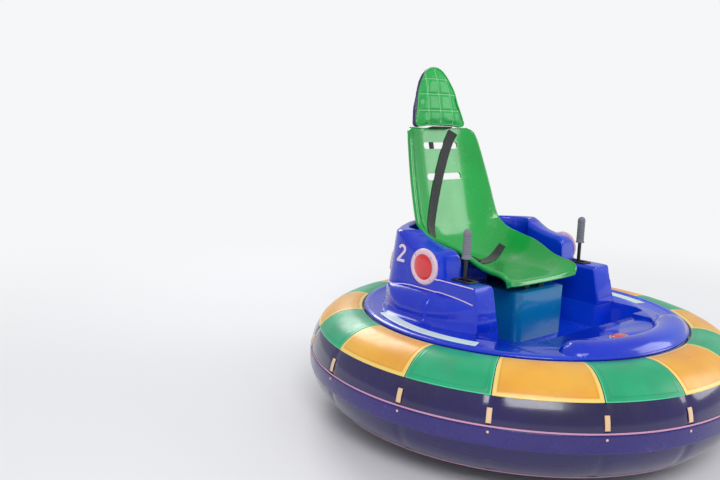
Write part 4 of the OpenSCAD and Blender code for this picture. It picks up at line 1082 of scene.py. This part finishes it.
def make_lamps():
    """Each lamp is a can with a rounded bezel and a domed lens sunk in it. The can is narrower than the
    bezel, so that it stays inside the wall. The dome rises from its edge by the sine of the way in. The
    side and rear lamps have four studs."""
    foot, seat = SKIN_GAP - CAN_DEPTH, -CAN_DEPTH/2
    def bezel(radius, lens, proud):
        can = lens + 0.004
        return np.vstack([
            [0, foot], [can, foot], [can, -0.007], [radius - 0.004, -0.007], [radius, -0.003],
            arc(proud, proud, 0, 90, 7) + [radius - proud, 0], [lens + 0.0012, proud],
            [lens + LENS_PLAY, proud - 0.0009], [lens + LENS_PLAY, seat], [0, seat]])
    def dome(lens, base, edge, crest):
        return np.vstack([[0, base], [lens, base], arc(lens, crest - edge, 0, 90, 14) + [0, edge]])
    def stud_heads_and_highlight_dots(at, along, radius, proud):
        spots = np.column_stack([arc(radius, radius, 45, 315, 4), np.full(4, proud)])
        return [low_dome(spot, along, 0.0028, 0.0014) for spot in spots @ axes_to(along).T + np.asarray(at)]
    sideways, rearwards, turn = lerp(REAR_NEAR, REAR_FAR, REAR_LAMP_SHARE)
    turn, tilt = math.radians(turn), math.atan(REAR_LEAN/(POD_REAR_Z - DECK_Z))
    out = cowl_out(REAR_LAMP_Z, POD_REAR_Z, 1)
    rear_at = (-(CORNER_X*sideways + out*math.cos(turn)),
               POD_FRONT + COWL_LEN*rearwards + out*math.sin(turn), REAR_LAMP_Z)
    rear_along = (-math.cos(turn)*math.cos(tilt), math.sin(turn)*math.cos(tilt), math.sin(tilt))
    side_at = (-CORNER_X, *SIDE_LAMP_AT)
    bezels, lenses, fixings = [], [], []
    for at, along, (radius, lens, proud), crest in (
            (side_at, (-1, 0, 0), SIDE_LAMP, 0.003), (rear_at, rear_along, REAR_LAMP, 0.001)):
        bezels.append(revolve(bezel(radius, lens, proud), 64, at, along))
        edge = seat + (CAN_DEPTH + proud)/2
        lenses.append(revolve(dome(lens, seat + 0.0002, edge, proud + crest), 64, at, along))
        fixings += stud_heads_and_highlight_dots(at, along, (radius + lens)/2, proud - 0.0002)
    bezels, lenses, fixings = mirrored(bezels), mirrored(lenses), mirrored(fixings)
    radius, lens, proud = NOSE_LAMP
    nose = (0, -NOSE_LAMP_Y, TRAY_Z)
    rim = np.vstack([
        [0, -0.006], [radius, -0.006], arc(0.002, 0.002, 0, 90, 6) + [radius - 0.002, proud - 0.002],
        [lens + 0.0008, proud], [lens + LENS_PLAY, proud - 0.0005], [lens + LENS_PLAY, 0.003], [0, 0.003]])
    bezels.append(revolve(rim, 56, nose))
    lenses.append(revolve(dome(lens, 0.0032, 0.009, 0.0185), 56, nose))
    piece("lamp_rims", bezels, "lamp_bezel", stands_for=("lamp_bezels",), angle=50)
    piece("lamp_domes", lenses, "red_lens", stands_for=("lamp_lenses",), angle=50)
    piece("lamp_studs", fixings, "zinc_steel", angle=50)


# Seat

SEAT_ROWS = np.array([
    [-0.185, -0.027, 50, 0.86, 0.12],
    [-0.169, -0.006, 29, 0.91, 0.27],
    [-0.123, 0, 4, 0.94, 0.37],
    [-0.041, 0, 0, 0.955, 0.42],
    [0.062, 0, 0, 0.97, 0.54],
    [0.165, 0, 0, 0.985, 0.76],
    [0.267, 0.002, 2, 1, 0.92],
    [0.391, 0.006, 6, 1.014, 1],
    [0.504, 0.023, 18, 1.025, 1.02],
    [0.617, 0.069, 38, 1.04, 0.98],
    [0.720, 0.149, 56, 1.05, 0.84],
    [0.778, 0.232, 67, 1.045, 0.66],
    [0.811, 0.316, 71, 1.03, 0.54],
    [0.893, 0.596, 72, 0.97, 0.44],
    [0.963, 0.857, 72.5, 0.88, 0.34],
    [0.984, 0.945, 73, 0.83, 0.27],
    [0.994, 0.979, 73, 0.79, 0.20],
    [1, 1, 73, 0.71, 0.12],
])
SEAT_STATIONS = SEAT_ROWS*[SEAT_REACH, BACK_H, 1, SEAT_HALF, SIDE_H] + [0, PAN_Z, 0, 0, 0]
BACK_ROWS = (7, 17)


def seat_at(t):
    """Stations at places along the seat: y, height, turn in degrees, half width and side depth."""
    return through(np.arange(len(SEAT_STATIONS)), SEAT_STATIONS, np.ravel(t))


def seat_point(station, x, rise):
    """Point above a station's middle line, with its rise measured along the seat's outward direction."""
    turn = np.radians(station[..., 2])
    return np.stack([x, station[..., 0] - rise*np.sin(turn), station[..., 1] + rise*np.cos(turn)], -1)


def on_seat(t, x, off):
    """Point off above the seating face, at a place along the seat and a distance sideways. The section
    rises from its middle by the side depth times the 3.4th power of the sideways share."""
    station = seat_at(t).reshape(np.shape(t) + (5,))
    rise = station[..., 4]*np.abs(x/station[..., 3])**SIDE_POWER
    return seat_point(station, x, rise + off)


def back_place(rise):
    """Place along the seat where the back stands a height above the pan."""
    t = np.linspace(*BACK_ROWS, 900)
    return np.interp(PAN_Z + rise, seat_at(t)[:, 1], t)


def stadium(width, height):
    """Outline of a slot with round ends."""
    right = arc(height/2, height/2, -90, 90, 12) + [(width - height)/2, 0]
    return np.concatenate([right, -right, right[:1]])


def make_seat():
    """Inner face, rolled lip and outer face make one closed section per station. Both ends close by
    drawing the section onto the line halfway between its faces along a half circle."""
    station = seat_at(np.linspace(0, len(SEAT_STATIONS) - 1, 180))
    w, depth = station[:, 3:4], station[:, 4:5]
    u = np.linspace(-1, 1, 49)
    inner = np.stack([w*u, depth*np.abs(u)**SIDE_POWER], -1)
    u = 0.96*u
    outer = np.stack([(w + 0.004)*u, depth*np.abs(u)**SIDE_POWER - SHELL_T], -1)
    a = np.radians(np.linspace(100, -75, 14))
    lip = np.stack([w + 0.4*LIP_R + LIP_R*np.cos(a), depth - 0.8*LIP_R + 1.1*LIP_R*np.sin(a)], -1)
    flip = np.array([-1, 1])
    section = np.concatenate([inner, lip, outer[:, ::-1], (lip*flip)[:, ::-1]], 1)
    pair = np.concatenate([outer, lip[:, ::-1], inner[:, ::-1], lip*flip], 1)
    middle = (section + pair)/2
    def placed(points, which, ahead):
        s = station[which]
        grown = np.tile(s, (points.shape[0], 1))
        spots = seat_point(grown, points[:, 0], points[:, 1])
        turn = math.radians(s[2])
        return spots + ahead*np.array([0, math.cos(turn), math.sin(turn)])
    body = seat_point(station[:, None], section[..., 0], section[..., 1])
    ends = {0: [], -1: []}
    for which, sign in ((0, -1), (-1, 1)):
        for a in np.radians([30, 60, 90]):
            drawn = lerp(middle[which], section[which], math.cos(a))
            ends[which].append(placed(drawn, which, sign*0.5*SHELL_T*math.sin(a)))
    grid = np.concatenate([np.array(ends[0][::-1]), body, np.array(ends[-1])])
    grid = np.concatenate([grid, grid[:, :1]], 1)
    up = np.array([0, math.sin(SLOT_TILT), math.cos(SLOT_TILT)])
    back = np.array([0, math.cos(SLOT_TILT), -math.sin(SLOT_TILT)])
    outline = stadium(SLOT_W, SLOT_H)
    cutters = []
    for share in SLOT_SHARES:
        at = on_seat(back_place(share*BACK_H), np.zeros(()), 0).ravel()
        flat = outline[:, :1]*np.array([1, 0, 0]) + outline[:, 1:]*up + at
        middle_line = np.tile(at, (len(outline), 1))
        cutters.append(np.array([
            middle_line - 0.05*back, flat - 0.05*back, flat + 0.05*back, middle_line + 0.05*back]))
    piece("seat_bucket", [grid], "green_shell", stands_for=("seat_shell",), angle=45, cutters=cutters)


def strap(place, length, rows):
    """Flat webbing on the seating face: place(u, v) gives the place along the seat and sideways."""
    def face(u, v):
        t, x = place(u, v)
        base = on_seat(t, x, 0)
        return base, on_seat(t, x, 1.0) - base, length, WEB_W
    return plate(face, rows, 15, WEB_T, 0.0012, lift=WEB_LIFT)


def make_belts():
    """The shoulder belt falls with the 0.8th power of the way sideways, the lap belt in a cosine."""
    def shoulder(u, v):
        across = 1 - 2*v
        rise = lerp(BELT_TOP, BELT_LOW, u) + BELT_RISE*across
        return back_place(rise), lerp(BELT_LEFT, -BELT_RIGHT, u**BELT_BOW) - BELT_SIDE*across
    def lap(u, v):
        share = 2*u - 1
        t = LAP_ROW - LAP_DIP*np.cos(np.radians(90*share)) + LAP_HALF*(1 - 2*v)
        return t, LAP_REACH*share
    for name, strip, node in (
            ("belt_shoulder", strap(shoulder, SHOULDER_RUN, 140), "shoulder_belt"),
            ("belt_lap", strap(lap, LAP_RUN, 100), "lap_belt")):
        piece(name, strip, "black_webbing", stands_for=(node,), angle=60)
    place, x = BUCKLE_PLACE
    at = on_seat(np.array(place), np.array(x), BUCKLE_LIFT + BUCKLE[2]/2).ravel()
    turn = math.radians(float(seat_at(place)[0, 2]))
    turning = np.array(Matrix.Rotation(turn, 3, "X"))
    body = rounded_box(BUCKLE, 0.004, at, turning)
    button = rounded_box((0.020, 0.030, 0.006), 0.002, at + turning @ [0.016, 0, 0.0052], turning)
    tongue = rounded_box((0.020, 0.036, 0.003), 0.001, at + turning @ [-0.036, 0, 0], turning)
    piece("buckle", [body, button], "black_plastic", stands_for=("belt_buckle",), angle=40)
    piece("buckle_tongue", [tongue], "zinc_steel", angle=40)


# Headrest

def headrest_world(local):
    """Points of the car for the headrest's own coordinates: sideways, rearwards and up its lean."""
    sine, cosine = math.sin(HEADREST_LEAN), math.cos(HEADREST_LEAN)
    x, y, z = np.moveaxis(np.asarray(local, float), -1, 0)
    return np.stack([x, HEADREST_AT[0] + y*cosine + z*sine, HEADREST_AT[1] - y*sine + z*cosine], -1)


def headrest_local(points):
    """The headrest's own coordinates of points of the car."""
    sine, cosine = math.sin(HEADREST_LEAN), math.cos(HEADREST_LEAN)
    x, y, z = np.moveaxis(points - np.array([0, *HEADREST_AT]), -1, 0)
    return np.stack([x, y*cosine - z*sine, y*sine + z*cosine], -1)


def headrest_outline():
    """Closed outline: a flat foot with round corners below an arch, whose sideways reach is a 0.9th
    power of the cosine and whose height a 1.45th power of the sine."""
    foot = 0.018
    half = HEADREST_W/2
    bottom = np.stack([np.linspace(0, half - foot, 9), np.zeros(9)], -1)
    corner = arc(foot, foot, -90, 0, 9)[1:] + [half - foot, foot]
    a = np.radians(np.linspace(13, 90, 34))
    arch = np.stack([half*np.cos(a)**0.9, HEADREST_H*np.sin(a)**1.45], -1)
    right = np.concatenate([bottom, corner, arch])
    return np.concatenate([right, right[-2:0:-1]*[-1, 1], right[:1]])


def pillow(scale, thick):
    """Closed cushion: the outline shrinks to its middle in front and behind along a rounded square."""
    outline = headrest_outline()
    middle = np.array([0, CUSHION_MIDDLE])
    a = np.radians(np.linspace(0, 180, 41))
    share = (np.sin(a)**2)**0.19
    depth = HEADREST_T/2 - thick/2*np.sign(np.cos(a))*(np.cos(a)**2)**0.24
    flat = middle + (outline - middle)*(scale*share)[:, None, None]
    deep = np.broadcast_to(depth[:, None], flat.shape[:2])
    return headrest_world(np.stack([flat[..., 0], deep, flat[..., 1]], -1))


def coordinates(obj):
    """Points of an object's mesh."""
    flat = np.empty(len(obj.data.vertices)*3, np.float32)
    obj.data.vertices.foreach_get("co", flat)
    return flat.reshape(-1, 3).astype(float)


def move_to(obj, points):
    """Puts the points of an object's mesh in new places."""
    obj.data.vertices.foreach_set("co", points.astype(np.float32).ravel())


def refine(obj, levels):
    """Divides an object's faces and smooths it."""
    finer = obj.modifiers.new("finer", "SUBSURF")
    finer.levels = finer.render_levels = levels
    settle(obj)


def fill_with_air(obj):
    """Soft filling as a cloth under inner pressure: an even net of the cushion is blown up for twenty
    frames without gravity, and no point may move further than the cap."""
    net = obj.modifiers.new("net", "REMESH")
    net.mode = "VOXEL"
    net.voxel_size = NET_SIZE
    settle(obj)
    start = coordinates(obj)
    cloth = obj.modifiers.new("filling", "CLOTH")
    cloth.settings.quality = 6
    cloth.settings.mass = 0.3
    cloth.settings.tension_stiffness = 22
    cloth.settings.compression_stiffness = 22
    cloth.settings.use_pressure = True
    cloth.settings.uniform_pressure_force = AIR_PRESSURE
    cloth.settings.effector_weights.gravity = 0.0
    cloth.point_cache.frame_start = 1
    cloth.point_cache.frame_end = AIR_FRAMES
    for number in range(1, AIR_FRAMES + 1):
        bpy.context.scene.frame_set(number)
    settle(obj)
    bpy.context.scene.frame_set(1)
    moved = coordinates(obj) - start
    size = np.linalg.norm(moved, axis=1, keepdims=True)
    moved *= np.minimum(1, AIR_CAP/np.maximum(size, 1e-9))
    move_to(obj, start + moved)
    refine(obj, 1)


def fit_to_cover(obj):
    """Stretches the filled cushion evenly along each of its own directions to the cover's size."""
    local = headrest_local(coordinates(obj))
    low, high = local.min(0), local.max(0)
    size = np.array([HEADREST_W, HEADREST_T, HEADREST_H])
    local = (local - low)/(high - low)*size - np.array([HEADREST_W/2, 0, 0])
    move_to(obj, headrest_world(local))


def quilt(obj):
    """Channels of the quilting: the front sinks by bell curves along three upright seams, of which the
    outer two bend inwards with the square of the height, and along level rows."""
    local = headrest_local(coordinates(obj))
    x, y, z = local.T
    seam = QUILT_X + QUILT_BEND*z*z
    channels = [x, np.abs(x) - seam] + [z - row for row in QUILT_ROWS]
    sunk = np.max([bell(channel, QUILT_W) for channel in channels], axis=0)
    y = y + QUILT_DEPTH*sunk*np.clip((0.012 - y)/0.008, 0, 1)
    move_to(obj, headrest_world(np.stack([x, y, z], -1)))


def rim_of(obj, depth):
    """Outline of the cushion at a depth: the cover's outline, scaled in each direction by how far the
    cushion's farthest points reach there, evened out over a few neighbouring directions."""
    count = 60
    middle = np.array([0, CUSHION_MIDDLE])
    outline = headrest_outline()[:-1] - middle
    local = headrest_local(coordinates(obj))
    near = local[np.abs(local[:, 1] - depth) < 0.003][:, [0, 2]] - middle
    def place(flat):
        return (np.arctan2(flat[:, 1], flat[:, 0])/TAU % 1)*count
    order = np.argsort(place(outline))
    cover = np.interp(place(near), place(outline)[order], np.hypot(*outline.T)[order], period=count)
    share = np.zeros(count)
    np.maximum.at(share, place(near).astype(int) % count, np.hypot(*near.T)/cover)
    share = np.mean([np.roll(share, k) for k in (-1, 0, 1)], axis=0)
    scale = np.interp(place(outline), np.arange(count) + 0.5, share, period=count)
    edge = middle + outline*scale[:, None]
    return headrest_world(np.stack([edge[:, 0], 0*edge[:, 0] + depth, edge[:, 1]], -1))


def make_headrest():
    """Cushion with quilted front and a piped edge."""
    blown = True
    start = pillow(0.965, HEADREST_T - 0.010) if blown else pillow(1.0, HEADREST_T)
    obj = object_of("headrest_cushion", closed_mesh("headrest_cushion", [start]))
    if blown:
        fill_with_air(obj)
        fit_to_cover(obj)
    else:
        refine(obj, 2)
    quilt(obj)
    dress(obj, "green_quilted", stands_for=("headrest_pad",), angle=180)
    piping = tube(rim_of(obj, PIPING_DEPTH), PIPING_R, closed=True)
    piece("headrest_piping", [piping], "green_shell", angle=180)


# Drive

def make_tyres():
    """Solid tyre with round shoulders. Three grooves run round it by bell curves across the tread, and
    sipes cross its shoulders by a power of the cosine of the turn."""
    turn, t = np.meshgrid(np.linspace(0, TAU, 289), np.linspace(0, 1, 37), indexing="ij")
    half = WHEEL_W/2
    across = -half*np.cos(t*math.pi)
    share = np.abs(across)/half
    shoulder = TYRE_ROUND*(1 - quarter_round((1 - share)/TYRE_ROUND_SHARE))
    grooves = np.max([bell(across - c, GROOVE_W) for c in GROOVES], axis=0)
    sipes = np.clip(np.cos(turn*SIPES), 0, 1)**6*np.clip((share - 0.5)/0.1, 0, 1)
    radius = WHEEL_R - shoulder - GROOVE_DEPTH*grooves - SIPE_DEPTH*sipes*(share < 0.985)
    tread = np.stack([across, radius*np.cos(turn), radius*np.sin(turn)], -1)
    line = turn[:, :1]
    bore = [
        np.stack([0*line + end*half*0.999, HUB_R*np.cos(line), HUB_R*np.sin(line)], -1) for end in (1, -1)]
    ring = np.concatenate([tread, *bore, tread[:, :1]], 1)
    for side in ("right", "left"):
        node = "drive_tyre_" + side
        low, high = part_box(node)
        piece("tread_" + side, [ring + np.array((low + high)/2)], "tyre_rubber",
              body=frame["nodes"][node]["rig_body"], stands_for=(node,), angle=45)


def make_stripe():
    """Plain stripe on the flange at each side of the cowl."""
    def face(u, v):
        turn = np.radians(lerp(*STRIPE_TURNS, u))
        radius = lerp(*STRIPE_RADII, v)
        spots = np.stack([radius*np.cos(turn), radius*np.sin(turn), 0*turn + DECK_Z], -1)
        return spots, spots*0 + np.array([0, 0, 1.0]), 0.47, 0.044
    piece("flange_stripe", mirrored(plate(face, 80, 12, 0.0007, 0.0015)), "stripe", angle=60)


# Camera, light and floor

BACKDROP = (0.92, 0.925, 0.935, 1)


def make_camera():
    """The view of the photograph: position, right, up and forward directions of the camera."""
    place = (-2.26904, -1.74922, 1.12429)
    right, up, ahead = (
        (0.77131, -0.63556, 0.03321), (0.08239, 0.15145, 0.98502), (0.63107, 0.75702, -0.16918))
    data = bpy.data.cameras.new("view")
    data.sensor_width = 36.0
    data.lens = 37.51
    camera = object_of("view", data)
    camera.matrix_world = Matrix([
        (right[k], up[k], -ahead[k], place[k]) for k in range(3)] + [(0, 0, 0, 1)])
    bpy.context.scene.camera = camera


def make_light():
    """Three wide soft lamps and an even pale sky."""
    for name, place, aim, size, power in (
            ("key", (-3.2, -3.6, 4.4), (0, 0, 0.4), 2.6, 150),
            ("fill", (3.8, -3.0, 2.6), (0, 0, 0.4), 2.4, 60),
            ("back", (1.2, 4.4, 3.6), (0, 0, 0.6), 2.4, 100)):
        lamp = bpy.data.lights.new(name, "AREA")
        lamp.energy = power
        lamp.size = size
        lamp_object = object_of(name, lamp)
        lamp_object.location = place
        lamp_object.rotation_euler = (Vector(aim) - Vector(place)).to_track_quat("-Z", "Y").to_euler()
    world = bpy.data.worlds.new("studio")
    bpy.context.scene.world = world
    g = graph_of(world)
    path = g.add("ShaderNodeLightPath").outputs
    seen = g.most(path["Is Camera Ray"], path["Is Transmission Ray"])
    lighting = g.add("ShaderNodeBackground", {"Color": (0.95, 0.96, 1.0, 1), "Strength": 0.55})
    shown = g.add("ShaderNodeBackground", {"Color": BACKDROP, "Strength": 1.0})
    both = g.add("ShaderNodeMixShader", {0: seen, 1: lighting.outputs[0], 2: shown.outputs[0]})
    g.add("ShaderNodeOutputWorld", {"Surface": both.outputs[0]})


def make_floor():
    """Pale floor that takes the shadow near the car and fades to the backdrop's colour far from it."""
    size = 40.0
    corners = np.array([[[-size, -size, 0], [-size, size, 0]], [[size, -size, 0], [size, size, 0]]], float)
    floor = object_of("floor", mesh_from("floor", [corners]))
    material = bpy.data.materials.new("floor")
    g = graph_of(material)
    shader = g.add("ShaderNodeBsdfPrincipled", {"Base Color": (0.86, 0.86, 0.87, 1), "Roughness": 0.7})
    far = g.add("ShaderNodeVectorMath", {0: g.place()}, operation="LENGTH").outputs["Value"]
    path = g.add("ShaderNodeLightPath").outputs
    seen = g.most(path["Is Camera Ray"], g.most(path["Is Glossy Ray"], path["Is Transmission Ray"]))
    share = g.times(g.ramp(far, 1.3, 4.5), seen)
    glow = g.add("ShaderNodeEmission", {"Color": BACKDROP, "Strength": 1.0})
    both = g.add("ShaderNodeMixShader", {0: share, 1: shader.outputs[0], 2: glow.outputs[0]})
    g.add("ShaderNodeOutputMaterial", {"Surface": both.outputs[0]})
    floor.data.materials.append(material)


def plain_nodes():
    """Solids that keep their shape: each gets its finish, and the blocky ones round edges."""
    for node, finish, ease in (
            ("deck", "blue_body", 0.004),
            ("flange_trim", "pale_trim", 0.0015),
            ("pedestal", "teal_body", 0.008),
            ("lever_slot_plates", "black_plastic", 0.0012),
            ("lever_brackets", "zinc_steel", 0.0006),
            ("seat_rails", "black_steel", 0.0015),
            ("headrest_bracket", "black_steel", 0.001),
            ("frame", "black_steel", 0.003),
            ("battery_pack", "battery_case", 0.004),
            ("gearboxes", "cast_alloy", 0.003),
            ("lever_grip_right", "grip_rubber", 0.0005),
            ("lever_grip_left", "grip_rubber", 0.0005),
            ("drive_hub_right", "cast_alloy", 0.001),
            ("drive_hub_left", "cast_alloy", 0.001)):
        eased(node, finish, ease)
    for nodes, finish in (
            (("lever_rod_right", "lever_rod_left"), "black_steel"),
            (("chassis_pan",), "black_steel"), (("motors",), "motor_case"),
            (("drive_axle_right", "drive_axle_left", "caster_plates"), "zinc_steel"),
            (("caster_fork_front", "caster_fork_rear"), "zinc_steel"),
            (("caster_axle_front", "caster_axle_rear"), "zinc_steel"),
            (("caster_wheel_front", "caster_wheel_rear"), "caster_rubber")):
        for node in nodes:
            mesh = frame["nodes"][node].data
            mesh.materials.clear()
            mesh.materials.append(FINISH[finish])


make_camera()
make_light()
make_floor()
make_ring()
make_panels()
make_band()
make_cowl()
make_numeral()
make_lamps()
make_seat()
make_belts()
make_headrest()
make_tyres()
make_stripe()
plain_nodes()

bpy.context.scene.view_settings.view_transform = "Standard"
